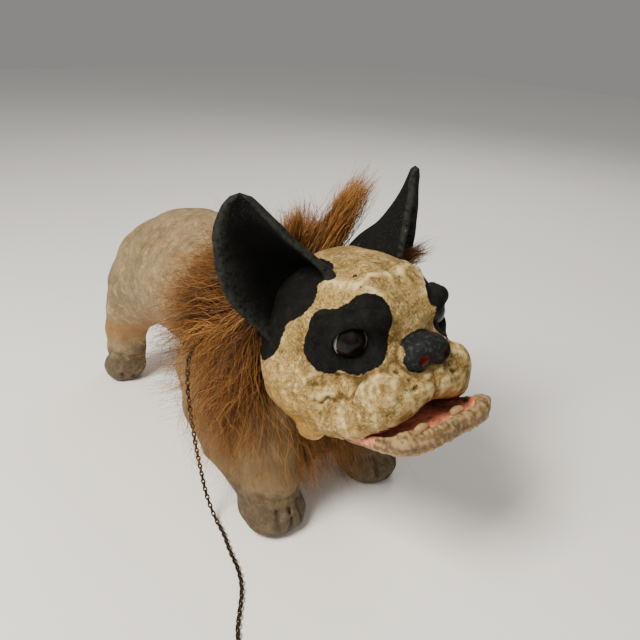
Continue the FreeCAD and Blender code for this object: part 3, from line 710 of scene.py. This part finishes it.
# ---- ears ----
# rows: z, inner edge x and y, outer edge x and y, depth of the cup, wall thickness
EAR_ROWS = [(186, 40, -118, 62, -108, 14, 7), (200, 38, -124, 72, -106, 20, 7),
            (214, 38, -128, 84, -101, 28, 7.2), (228, 38, -133, 94, -96, 34, 7.5),
            (243, 36, -138, 99, -93, 38, 8), (254, 38, -136, 102, -91, 32, 8),
            (266, 49, -128, 103, -90, 22, 7.8), (280, 62, -119, 103, -89, 13, 7.4),
            (292, 72, -112, 101, -90, 7, 7), (302, 80, -105, 98, -93, 3.5, 6.5),
            (309, 86, -101, 93, -96, 1.5, 6)]
EAR_CUP_TOWARDS = np.array([-0.80, 0.60, 0.0])
LEFT_EAR_FULLER = 9.0      # how much deeper the left ear's cup is, below its middle
ACROSS_STEPS, CAP_STEPS, EAR_LEVELS = 22, 7, 64


def smooth_rows(rows, count):
    """Rows in between, along a smooth curve through the given ones."""
    rows = np.array(rows, float)
    slopes = np.gradient(rows, axis=0)
    t = np.linspace(0, len(rows) - 1, count)
    i = np.minimum(t.astype(int), len(rows) - 2)
    f = (t - i)[:, None]
    h = f * f * (3 - 2 * f)
    leave, arrive = f * (1 - f) ** 2, -f * f * (1 - f)
    return rows[i] * (1 - h) + rows[i + 1] * h + slopes[i] * leave + slopes[i + 1] * arrive


def ear_loop(row):
    """One level of the ear: a cupped wall with round edges, and its values for the painted shade
    in the cup and for the worn rim.
    """
    z, xi, yi, xo, yo, depth, wall = row
    inner, outer = np.array([xi, yi, z]), np.array([xo, yo, z])
    s = np.linspace(0, 1, ACROSS_STEPS)
    bow = np.sin(math.pi * s) ** 0.8 * depth
    middle = inner + (outer - inner) * s[:, None] + EAR_CUP_TOWARDS * bow[:, None]
    tangent = np.gradient(middle, axis=0)
    tangent /= np.linalg.norm(tangent, axis=1)[:, None]
    out = np.cross(tangent, (0.0, 0.0, 1.0))
    out /= np.linalg.norm(out, axis=1)[:, None]
    if out[ACROSS_STEPS // 2] @ EAR_CUP_TOWARDS < 0:
        out = -out
    thick = wall / 2 * (0.8 + 0.35 * np.abs(2 * s - 1) ** 3)

    def cap(end, sign):
        turns = np.linspace(0, math.pi, CAP_STEPS + 2)[1:-1]
        return [middle[end] + sign * thick[end]
                * (out[end] * math.cos(a) + tangent[end] * math.sin(a)) for a in turns]
    back = middle + out * thick[:, None]
    front = middle - out * thick[:, None]
    loop = np.concatenate([back, cap(-1, 1), front[::-1], cap(0, -1)])
    inside = np.sin(math.pi * s) * min(1.0, depth / 14.0)
    bare, full = np.zeros(CAP_STEPS), np.ones(CAP_STEPS)
    edge = np.abs(2 * s - 1) ** 4
    return (loop, np.concatenate([0 * s, bare, inside, bare]),
            np.concatenate([0.4 * edge, full, edge, full]))


def build_ear(side_name, side):
    rows = smooth_rows(EAR_ROWS, EAR_LEVELS)
    if side > 0:
        rows[:, 5] += LEFT_EAR_FULLER * np.exp(-((rows[:, 0] - 246.0) / 18.0) ** 2)
    loops, hollow, rim = zip(*(ear_loop(row) for row in rows))
    points = np.concatenate(loops)
    ring, levels = len(loops[0]), len(loops)
    foot = points[:ring].mean(0) - np.array([0.0, 0.0, 3.0])
    tip = points[-ring:].mean(0) + np.array([1.0, 0.5, 3.0])
    points = np.concatenate([points, [tip, foot]])
    top, bottom = len(points) - 2, len(points) - 1
    last = (levels - 1) * ring
    faces = band(levels - 1, ring)
    faces += [(last + k, last + (k + 1) % ring, top) for k in range(ring)]
    faces += [((k + 1) % ring, k, bottom) for k in range(ring)]
    if side > 0:
        faces = [face[::-1] for face in faces]
    points = points + 0.5 * np.stack([waves(points, 22, 20 + i) for i in range(3)], 1)
    points[:, 0] *= side
    values = {"hollow": np.append(np.concatenate(hollow), [0, 0]),
              "rim": np.append(np.concatenate(rim), [1, 0])}
    ear = mesh_piece("ear_leaf_" + side_name, points, faces, values)
    fix_normals(ear)
    return ear


def fix_normals(piece):
    """Turns every face of a closed piece outwards."""
    work = bmesh.new()
    work.from_mesh(piece.data)
    bmesh.ops.recalc_face_normals(work, faces=work.faces)
    work.to_mesh(piece.data)
    work.free()


def build_ears():
    finish = ear_material()
    for side_name, side in (("right", -1), ("left", 1)):
        ear = build_ear(side_name, side)
        paint(ear, finish)
        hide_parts("ear_" + side_name)
        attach(ear, "head")


# ---- eyes ----
IRIS_RADIUS, WHITE_RADIUS, PUPIL_RADIUS = 11.5, 15.5, 5.0
IRIS_WIDTH = 0.80          # against its height
EYE_BULGE = 0.7            # of the cornea, over the round of the eye
EYE_RINGS, EYE_AROUND, EYE_REACH = 40, 64, math.radians(100.0)


def build_eyes():
    finish = eye_material()
    angle = np.repeat(EYE_REACH * np.arange(EYE_RINGS + 1) / EYE_RINGS, EYE_AROUND)
    turn = np.tile(2 * math.pi * np.arange(EYE_AROUND) / EYE_AROUND, EYE_RINGS + 1)
    across, up = np.sin(angle) * np.cos(turn), np.sin(angle) * np.sin(turn)
    bulge = EYE_RADIUS + EYE_BULGE * np.exp(-(angle / 0.5) ** 2)
    local = np.stack([across, up, np.cos(angle)], 1) * bulge[:, None]
    flat = EYE_RADIUS * np.sin(angle)
    iris = EYE_RADIUS * np.hypot(across, IRIS_WIDTH * up)
    values = {"white": (IRIS_RADIUS < iris) & (flat < WHITE_RADIUS),
              "pupil": flat < PUPIL_RADIUS}
    for side_name, side in (("right", -1), ("left", 1)):
        points = (EYE + local @ eye_frame().T) * (side, 1, 1)
        eye = mesh_piece("eye_" + side_name, points, band(EYE_RINGS, EYE_AROUND), values)
        fix_normals(eye)
        paint(eye, finish)
        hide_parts("eye_glass_" + side_name, "eye_backing_" + side_name)
        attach(eye, "head")


# ---- lower jaw ----
JAW_FRONT, JAW_BACK, JAW_HALF = 110.0, -6.0, 50.0
JAW_CORNER = 24.0
JAW_MIDDLE, JAW_PLATE = -11.0, 3.4      # height of the plate's middle, and half its thickness
JAW_WAIST = 5.0           # how much narrower the jaw is on each side at its back
TOOTH, TOOTH_SIZE = (20.0, 93.0, -3.5), (7, 4.0, 3.6)
JAW_MASSES = [((42, 98, -4), (9, 8, 6), 8), (TOOTH, TOOTH_SIZE, 4), ((0, 50, -9), (24, 46, 6), 8)]


def jaw_plan(j):
    """Millimetres outside the jaw's outline, seen from above."""
    length = (JAW_FRONT - JAW_BACK) / 2
    half = JAW_HALF - JAW_WAIST * np.clip((80.0 - j[:, 1]) / 50.0, 0, 1)
    qx = np.abs(j[:, 0]) - (half - JAW_CORNER)
    qy = np.abs(j[:, 1] - (JAW_FRONT + JAW_BACK) / 2) - (length - JAW_CORNER)
    outside = np.hypot(np.maximum(qx, 0), np.maximum(qy, 0))
    return outside + np.minimum(np.maximum(qx, qy), 0) - JAW_CORNER


def jaw_shape(p):
    j = jaw_coordinates(mirrored(p))
    plan = jaw_plan(j)
    ahead = np.clip((j[:, 1] - 62.0) / 36.0, 0, 1)
    middle = JAW_MIDDLE + 1.0 * ahead
    plate = np.maximum(plan, np.abs(j[:, 2] - middle) - JAW_PLATE)
    rim_height = middle + 1.0 + 2.6 * ahead
    rim = np.hypot(plan + 4.0, (j[:, 2] - rim_height) * 0.75) - (3.0 + 1.8 * ahead)
    d = built_up(j, JAW_MASSES, join(plate, np.maximum(rim, 14.0 - j[:, 1]), 6))
    knobs = 0.5 * waves(p, 9, 31) + 0.3 * waves(p, 4.5, 32)
    return d + knobs * np.clip((plan + 12.0) / 8.0, 0.25, 1.0)


def jaw_masks(points, normals):
    j = jaw_coordinates(mirrored(points))
    inside = np.minimum(jaw_plan(j) + 7.5, (j[:, 1] - 70.0) / 5.0)
    under = 3.0 * (-12.0 - j[:, 2])
    tooth = 1.0 - ball(j, TOOTH, TOOTH_SIZE)
    return {"pink": np.maximum(np.maximum(inside, under), tooth)}


def build_jaw():
    jaw = sculpt("jaw_dish", jaw_shape, (-60, -254, 104), (60, -120, 182), 1.3,
                 jaw_masks)
    paint(jaw, jaw_material())
    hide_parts("lower_jaw", "lower_teeth")
    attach(jaw, "jaw")


# ---- body ----
SPINE = [(0, -52, 175, 49), (0, -16, 168, 70), (0, 35, 162, 75), (0, 85, 161, 71.5),
         (0, 135, 156, 69.5), (0, 179, 144, 64)]
FORELEG = [(60, -101, 24, 25), (60, -99, 48, 25), (58, -91, 72, 27), (53, -76, 96, 29),
           (48, -52, 120, 30)]
ELBOW = [(66, -76, 42, 22), (70, -46, 64, 25), (68, -20, 88, 29), (59, 2, 116, 33)]
HIND_LEG = [(55, 210, 22, 20), (54, 212, 45, 22), (53, 209, 70, 24), (50, 201, 96, 29)]
BODY_MASSES = [((0, -58, 96), (54, 40, 44), 22), ((44, -30, 140), (34, 46, 50), 20),
               ((43, 190, 124), (30, 46, 46), 16)]
FORE_PAW, HIND_PAW = (60, -100, 19), (56, 219, 15)
PAWS = [[(FORE_PAW, (30, 32, 22), 0), ((60, -109, 13), (29, 22, 15), 8)],
        [(HIND_PAW, (25, 22, 18), 0), ((56, 212, 11), (23, 15, 12), 8)]]
TOE_LINES = (-11.5, 0.0, 11.5)
WRIST = [(36, -112, 46), (50, -124, 42), (70, -124, 42), (84, -110, 45)]
HAUNCH = [(66, 150, 120), (70, 168, 150), (62, 190, 172), (46, 214, 176)]


def toes(p, paw, length, height):
    """The grooves between the toes: from the paw's top down over its front."""
    x, y, z = paw
    lines = []
    for across in TOE_LINES:
        wide = x + across * (1.15 if across else 1.0)
        beads = [(x + across, y - 0.45 * length, z + height, 0.5),
                 (x + across, y - 0.82 * length, z + 0.5 * height, 1.5),
                 (wide, y - 1.02 * length, z - 0.2 * height, 2.1),
                 (wide, y - 0.98 * length, 0.0, 2.1)]
        lines.append(chain_of(p, beads, 1))
    return np.min(lines, axis=0)


def toe_lines(p):
    return np.minimum(toes(p, FORE_PAW, 31, 21), toes(p, HIND_PAW, 22, 17))


def body_shape(raw):
    p = mirrored(raw)
    d = built_up(p, BODY_MASSES, chain_of(p, SPINE, 10))
    for leg in (FORELEG, ELBOW, HIND_LEG):
        d = join(d, chain_of(p, leg, 8), 14)
    for paw in PAWS:
        d = join(d, built_up(p, paw), 7)
    d = carve(d, toe_lines(p), 3)
    d = d + rise(p, WRIST, 3, 2.0) - rise(p, HAUNCH, 12, 3.0)
    d = d + 1.0 * waves(raw, 45, 11) + 0.4 * waves(raw, 16, 12)
    d = carve(d, ball(raw, (0, -58, 175), (40, 30, 40)), 2)
    return np.maximum(d, 2.0 - raw[:, 2])


def body_masks(points, normals):
    p = mirrored(points)
    low = np.clip((64.0 - p[:, 2]) / 34.0, 0.0, 1.0)
    # Painted reflected light: an orange glow on the low haunch and on the downward faces of the
    # belly.
    hind_glow = np.exp(-((p[:, 2] - 78.0) / 20.0) ** 2) * np.clip((p[:, 1] - 40) / 60, 0, 1)
    belly_glow = np.clip(-normals[:, 2], 0, 1) * np.exp(-((p[:, 2] - 95.0) / 25.0) ** 2)
    leg = np.clip((120.0 - p[:, 2]) / 40.0, 0, 1) * np.clip((10 - p[:, 1]) / 40, 0, 1)
    return {"paw": low, "warm_tint_and_glow": np.maximum(hind_glow, belly_glow), "leg": leg, "groove": toe_lines(p)}


def build_body():
    body = sculpt("body_shell", body_shape, (-106, -150, 0), (106, 254, 250), 2.5,
                  body_masks)
    paint(body, body_material())
    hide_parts("body_shell_right", "body_shell_left")
    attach(body, "body")


# ---- ruff ----
HAIR_STEPS = 11
HAIR_BENDS = ((0.6, 1.0), (1.5, 0.45), (2.9, 0.22), (4.6, 0.10))    # waves and their amounts
LOOSE_SHARE = 0.14         # strands that leave their tuft
HAIR_LOWEST, HAIR_WIDEST = 4.0, 121.0
HAIR_TONE, TONE_SPREAD, TUFT_TONE_SPREAD = 0.48, 0.27, 0.22


def strands(name, roots, flows, lengths, rng, clump, width=0.5, curl=7.0, droop=0.25):
    """Tapered three-sided fibres from roots along flows, in tufts that share their bends."""
    n, tufts = len(roots), clump.max() + 1
    flows = flows / np.linalg.norm(flows, axis=1)[:, None]
    t = np.linspace(0, 1, HAIR_STEPS)
    path = roots[:, None, :] + flows[:, None, :] * (lengths[:, None] * t)[:, :, None]
    path[:, :, 2] -= droop * lengths[:, None] * t ** 2
    loose = rng.uniform(size=n) < LOOSE_SHARE
    tied = np.where(loose, 0.25, 1.0)
    for frequency, amount in HAIR_BENDS:
        own = rng.normal(size=(n, 3))
        shared = rng.normal(size=(tufts, 3))
        bend = own * (0.30 + 0.9 * loose)[:, None] + shared[clump] * tied[:, None]
        phase = rng.uniform(-0.8, 0.8, size=n)
        turn = 2 * math.pi * frequency * t[None, :] + phase[:, None]
        swing = np.sin(turn) - np.sin(phase)[:, None]
        path += bend[:, None, :] * (swing * t ** 0.7 * amount * curl)[:, :, None]
    path[:, :, 2] = np.maximum(path[:, :, 2], HAIR_LOWEST + width)
    path[:, :, 0] = np.clip(path[:, :, 0], -HAIR_WIDEST, HAIR_WIDEST)
    tangent = np.gradient(path, axis=1)
    tangent /= np.maximum(np.linalg.norm(tangent, axis=2), 1e-6)[:, :, None]
    side = np.cross(tangent, rng.normal(size=(n, 1, 3)))
    side /= np.linalg.norm(side, axis=2)[:, :, None]
    other = np.cross(tangent, side)
    radius = (width / 2 * (1.0 - 0.8 * t ** 1.5))[None, :, None]
    turns = [2 * math.pi * k / 3 for k in range(3)]
    corners = [path + (side * math.cos(a) + other * math.sin(a)) * radius for a in turns]
    points = np.stack(corners, 2).reshape(-1, 3)
    base = (np.arange(n) * HAIR_STEPS * 3)[:, None]
    last = (HAIR_STEPS - 1) * 3
    faces = np.concatenate([base + np.array(quad) for quad in band(HAIR_STEPS - 1, 3)]).tolist()
    faces += (base + last + np.array([0, 1, 2])).tolist() + (base + np.array([2, 1, 0])).tolist()
    tone = np.clip(rng.normal(HAIR_TONE, TONE_SPREAD, n), 0, 1)
    tone = np.clip(tone + TUFT_TONE_SPREAD * rng.normal(size=tufts)[clump], 0, 1)
    values = {"tone": np.repeat(tone, HAIR_STEPS * 3),
              "along": np.tile(np.repeat(t, 3), n)}
    return mesh_piece(name, points, faces, values)


# How the hair lies: its outward, backward and downward shares and its length. Each is one
# number, or angles from the top of the neck with a value for each of them. The shoulder
# hair hangs over the shoulder and before the foreleg.
SIDE = (([20, 60, 90, 110, 140, 170], [0.50, 0.45, 0.36, 0.20, 0.20, 0.4]),
        ([20, 60, 100, 120, 170], [0.95, 1.00, 0.80, 0.25, 0.0]),
        ([20, 60, 100, 120, 170], [0.05, 0.15, 0.40, 0.90, 1.0]),
        ([20, 50, 90, 120, 150], [55, 85, 102, 86, 90]))
SHOULDER = (([60, 90, 120, 150], [0.50, 0.42, 0.25, 0.12]),
            ([60, 90, 120, 150], [0.30, -0.10, -0.50, -0.62]),
            ([60, 90, 120, 150], [0.65, 0.90, 0.90, 0.90]),
            ([60, 90, 120, 150], [80, 94, 94, 84]))
TOP = (0.45, 0.9, 0.0, 34.0)
CHEST = (0.30, -0.62, 0.95, 94.0)
# name, angles, strands, tufts, lie, droop, radius and y of the roots, curl
RUFF = [("ruff_right", (22, 150), 3600, 75, SIDE, 0.2, (56, 66), (-62, -34), 10.0),
        ("ruff_shoulder_right", (62, 152), 3900, 75, SHOULDER, 0.2, (54, 68), (-74, -58), 9.0),
        ("ruff_left", (-150, -22), 3600, 75, SIDE, 0.2, (56, 66), (-62, -34), 10.0),
        ("ruff_shoulder_left", (-152, -62), 3900, 75, SHOULDER, 0.2, (54, 68), (-74, -58), 9.0),
        ("ruff_top", (-34, 34), 1500, 50, TOP, 0.1, (50, 66), (-62, -34), 8.0),
        ("ruff_throat", (148, 212), 3200, 80, CHEST, 0.1, (46, 62), (-72, -54), 8.0)]
# name, strands, foot, tip, spread, width; the tall tuft leans to the dog's left
TUFTS = [("tuft_tall", 1100, (8, -68, 232), (50, -80, 298), (15, 10, 7), 0.6),
         ("tuft_short", 380, (-14, -62, 234), (-11, -64, 280), (8, 6, 3), 0.55),
         ("tuft_side", 420, (74, -90, 216), (103, -109, 236), (6, 7, 8), 0.55)]
TUFT_CLUMPS = 16


def by_angle(rule, angle):
    return np.interp(angle, *rule) if isinstance(rule, tuple) else rule + 0 * angle


def ruff_part(rng, name, angles, count, tufts, lie, droop, root_radius, root_y, curl):
    """Strands in tufts between two angles round the neck, towards the dog's right."""
    clump = rng.randint(0, tufts, count)
    centre_angle = np.radians(rng.uniform(*angles, tufts))
    centre_y = rng.uniform(*root_y, tufts)
    angle = centre_angle[clump] + np.radians(rng.normal(0, 3.5, count))
    y = centre_y[clump] + rng.normal(0, 3.0, count)
    out = np.stack([-np.sin(angle), 0 * angle, np.cos(angle)], 1)
    radius = rng.uniform(*root_radius, count)
    roots = out * radius[:, None] + np.stack([0 * y, y, 0 * y + NECK[2]], 1)
    tuft_turn = rng.normal(0, 0.17, (tufts, 3))[clump] + rng.normal(0, 0.09, (count, 3))
    from_top = np.abs(np.degrees(angle))
    outward, backward, downward, length = (by_angle(rule, from_top) for rule in lie)
    flows = out * outward[:, None] + np.array([[0.0, 1.0, 0.0]]) * backward[:, None]
    flows = flows + np.array([[0.0, 0.0, -1.0]]) * downward[:, None] + tuft_turn
    lengths = length * rng.uniform(0.6, 1.05, count)
    lengths = lengths * rng.uniform(0.8, 1.1, tufts)[clump]
    return strands(name, roots, flows, lengths, rng, clump, curl=curl, droop=droop)


def tuft_part(rng, name, count, foot, tip, spread, width):
    """A tuft whose strands fan out from its foot to its tip."""
    roots = np.array(foot) + rng.normal(0, 1, (count, 3)) * np.array(spread) * 0.6
    clump = rng.randint(0, TUFT_CLUMPS, count)
    fan = 0.55 * rng.normal(0, 1, (TUFT_CLUMPS, 3))[clump]
    fan = fan + 0.35 * rng.normal(0, 1, (count, 3))
    flows = np.array(tip) + fan * np.array(spread) - roots
    lengths = np.linalg.norm(flows, axis=1) * rng.uniform(0.7, 1.05, count)
    return strands(name, roots, flows, lengths, rng, clump, width, 3.0, 0.0)


def ruff_bed_shape(p):
    """The solid hair under the strands."""
    q = mirrored(p)
    d = chain_of(q, [(0, -62, 176, 58), (0, -44, 176, 64), (0, -22, 174, 67)], 8)
    d = join(d, ball(q, (0, -72, 108), (50, 34, 46)), 20)
    d = join(d, ball(q, (16, -87, 76), (38, 22, 38)), 14)
    d = d + 2.0 * waves(p, 14, 41) + 1.0 * waves(p, 6, 42)
    d = np.maximum(d, -np.interp(p[:, 2], [98.0, 122.0], [100.0, 64.0]) - p[:, 1])
    return np.maximum(d, 38.0 - p[:, 2])


def build_ruff():
    auburn = hair_material("auburn_fibre", (0.026, 0.008, 0.002), (0.170, 0.058, 0.010),
                           (0.47, 0.22, 0.050))
    rng = np.random.RandomState(11)
    parts = [ruff_part(rng, *row) for row in RUFF] + [tuft_part(rng, *row) for row in TUFTS]
    points, faces = surface_net(ruff_bed_shape, (-100, -118, 28), (100, 110, 262), 3.0)
    points, _ = settled(ruff_bed_shape, points, 2)
    # The bed's low tone keeps it darker than the strands: partly the dense hair and partly
    # painted shade under them.
    values = {"tone": 0.25 + 0.3 * waves(points, 5, 43), "along": np.full(len(points), 0.3)}
    bed = mesh_piece("ruff_bed", points, faces, values)
    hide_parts("ruff_hair")
    for part in parts + [bed]:
        paint(part, auburn)
        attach(part, "body")


# ---- pull chain ----
CHAIN_D = 0.0045
CHAIN_ROUTE = [(-0.071, -0.020, 0.165), (-0.088, -0.027, 0.166), (-0.103, -0.036, 0.157),
               (-0.108, -0.041, 0.137), (-0.109, -0.046, 0.108), (-0.108, -0.051, 0.076),
               (-0.106, -0.056, 0.046), (-0.104, -0.061, 0.020), (-0.103, -0.074, 0.00225),
               (-0.106, -0.092, 0.00225), (-0.113, -0.112, 0.00225), (-0.118, -0.134, 0.00225),
               (-0.127, -0.154, 0.00225), (-0.142, -0.172, 0.00225), (-0.155, -0.188, 0.00225),
               (-0.1635, -0.212, 0.00225)]
COIL_TURNS, COIL_STEPS = 2.0, 18
COIL_INSET, COIL_LAST_TURN = 0.0008, -0.35      # metres, and radians on to the pull ring
LINK_PITCH = 0.0041
LINK_WIRE = 0.00072


def coil_points():
    """The put-away length: a flat spiral on the floor, from its outside to the pull ring."""
    low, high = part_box("chain_coil")
    middle = (low + high) / 2
    outer = (high.x - low.x) / 2 - CHAIN_D / 2 - COIL_INSET
    ring_low, ring_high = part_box("chain_ring")
    inner = (ring_high.x - ring_low.x) / 2 + CHAIN_D
    count = int(COIL_TURNS * COIL_STEPS)
    spiral = []
    for i in range(1, count + 1):
        share = i / count
        turn = -2 * math.pi * COIL_TURNS * share
        spiral.append((turn, outer + (inner - outer) * share))
    spiral.append((turn + COIL_LAST_TURN, inner - CHAIN_D))
    return [(middle.x + radius * math.cos(turn), middle.y + radius * math.sin(turn), CHAIN_D / 2)
            for turn, radius in spiral]


def spline_points(route):
    """Points along the smooth line that the route guides."""
    data = bpy.data.curves.new("chain_line", "CURVE")
    data.dimensions = "3D"
    data.resolution_u = 24
    spline = data.splines.new("NURBS")
    spline.points.add(len(route) - 1)
    for point, place in zip(spline.points, route):
        point.co = (*place, 1.0)
    spline.order_u = 3
    spline.use_endpoint_u = True
    guide = bpy.data.objects.new("chain_line", data)
    bpy.context.scene.collection.objects.link(guide)
    bpy.context.view_layer.update()
    line = bpy.data.meshes.new_from_object(guide)
    points = np.array([v.co for v in line.vertices])
    bpy.data.objects.remove(guide)
    bpy.data.meshes.remove(line)
    return points


def even_points(points, pitch):
    steps = np.linalg.norm(np.diff(points, axis=0), axis=1)
    run = np.concatenate([[0], np.cumsum(steps)])
    count = int(run[-1] / pitch)
    at = np.linspace(0, run[-1], count + 1)
    return np.stack([np.interp(at, run, points[:, i]) for i in range(3)], 1), run[-1]


def link_shape(half_length, half_width, wire, around=16, section=7):
    """An oval wire ring, lengthened along its first axis."""
    points = []
    for i in range(around):
        a = 2 * math.pi * i / around
        centre = np.array([half_length * math.cos(a), half_width * math.sin(a), 0.0])
        outward = np.array([math.cos(a) * half_width, math.sin(a) * half_length, 0.0])
        outward /= np.linalg.norm(outward)
        for k in range(section):
            b = 2 * math.pi * k / section
            turned = outward * math.cos(b) + np.array([0, 0, math.sin(b)])
            points.append(centre + wire * turned)
    return np.array(points), np.array(band(around, section)) % len(points)


def build_chain():
    line = spline_points(CHAIN_ROUTE + coil_points())
    places, length = even_points(line, LINK_PITCH)
    link, link_faces = link_shape(LINK_PITCH / 2 + LINK_WIRE, CHAIN_D / 2 - LINK_WIRE,
                                  LINK_WIRE)
    points, faces = [], []
    for i, (start, along) in enumerate(zip(places, np.diff(places, axis=0))):
        along = along / np.linalg.norm(along)
        upright = abs(along[2]) >= 0.95
        side = np.cross(along, (0.0, 1.0, 0.0) if upright else (0.0, 0.0, 1.0))
        side /= np.linalg.norm(side)
        up = np.cross(side, along)
        twist = math.radians(45 if i % 2 else -45)
        width = side * math.cos(twist) + up * math.sin(twist)
        depth = np.cross(along, width)
        middle = start + along * LINK_PITCH / 2
        basis = np.stack([along, width, depth])
        faces.append(link_faces + len(link) * i)
        points.append(middle + link @ basis)
    points = np.concatenate(points) / MM
    chain = mesh_piece("pull_chain_links", points, np.concatenate(faces).tolist())
    fix_normals(chain)
    paint(chain, metal_material("chain_metal", (0.065, 0.042, 0.024), (0.014, 0.010, 0.007),
                                0.42, 0.85))
    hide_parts("pull_chain", "chain_coil")
    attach(chain, "body")


# ---- pieces that keep their CAD shape ----
def finish_hidden_pieces():
    steel = metal_material("bright_steel", (0.42, 0.41, 0.39), (0.20, 0.14, 0.09), 0.35)
    brass = metal_material("aged_brass", (0.55, 0.38, 0.13), (0.18, 0.11, 0.04), 0.4)
    iron = metal_material("cast_iron", (0.06, 0.055, 0.05), (0.12, 0.055, 0.03), 0.6, 0.7)
    chain_metal = bpy.data.materials["chain_metal"]
    wood, leather, fibre = wood_material(), leather_material(), fibre_cord_material()
    dark = Material("neck_black", 0.8)
    neck_black = dark.finish(black_paint(dark), dark.bump(dark.noise(0.004), 0.0006, 0.6))
    finish = {"steel": steel, "brass": brass, "iron": iron, "chain_steel": chain_metal,
              "wood": wood, "leather": leather, "cord_fibre": fibre, "ear_black": neck_black}
    for part in frame["record"]["subparts"]:
        node = frame["nodes"][part["node"]]
        if not node.hide_render:
            paint(node, finish[part["material_slot"]])


# ---- stage ----
FLOOR_REACH = 4.0


def add_stage():
    floor_data = bpy.data.meshes.new("floor")
    signs = ((-1, -1), (1, -1), (1, 1), (-1, 1))
    corners = [(x * FLOOR_REACH, y * FLOOR_REACH, 0) for x, y in signs]
    floor_data.from_pydata(corners, [], [(0, 1, 2, 3)])
    floor = bpy.data.objects.new("floor", floor_data)
    bpy.context.scene.collection.objects.link(floor)
    m = Material("floor_paper", 0.9)
    paint(floor, m.finish(m.mix(m.noise(0.4), (0.93, 0.93, 0.92), (0.96, 0.96, 0.95))))


def add_light(name, place, target, size, power, colour):
    data = bpy.data.lights.new(name, "AREA")
    data.size = size
    data.energy = power
    data.color = colour
    away = np.array(place, float) - np.array(target, float)
    back = away / np.linalg.norm(away)
    right = np.cross((0.0, 0.0, 1.0), back)
    right /= np.linalg.norm(right)
    lamp = bpy.data.objects.new(name, data)
    put_in_scene(lamp, (right, np.cross(back, right), back), place)


def add_lights():
    add_light("key", (-1.0, -0.15, 1.35), (0, -0.02, 0.12), 0.6, 44, (1.0, 0.93, 0.80))
    add_light("fill", (-0.4, -1.6, 0.9), (0, 0, 0.12), 1.4, 5, (1.0, 0.93, 0.84))
    add_light("rim", (1.2, 0.6, 1.3), (0, 0, 0.12), 0.8, 9, (1.0, 0.93, 0.85))
    world = bpy.data.worlds.new("studio")
    world.use_nodes = True
    world.node_tree.nodes["Background"].inputs["Color"].default_value = (1.0, 0.98, 0.95, 1.0)
    world.node_tree.nodes["Background"].inputs["Strength"].default_value = 0.26
    bpy.context.scene.world = world


add_camera()
build_chain()
build_head()
build_ears()
build_eyes()
build_jaw()
build_body()
build_ruff()
finish_hidden_pieces()
add_stage()
add_lights()
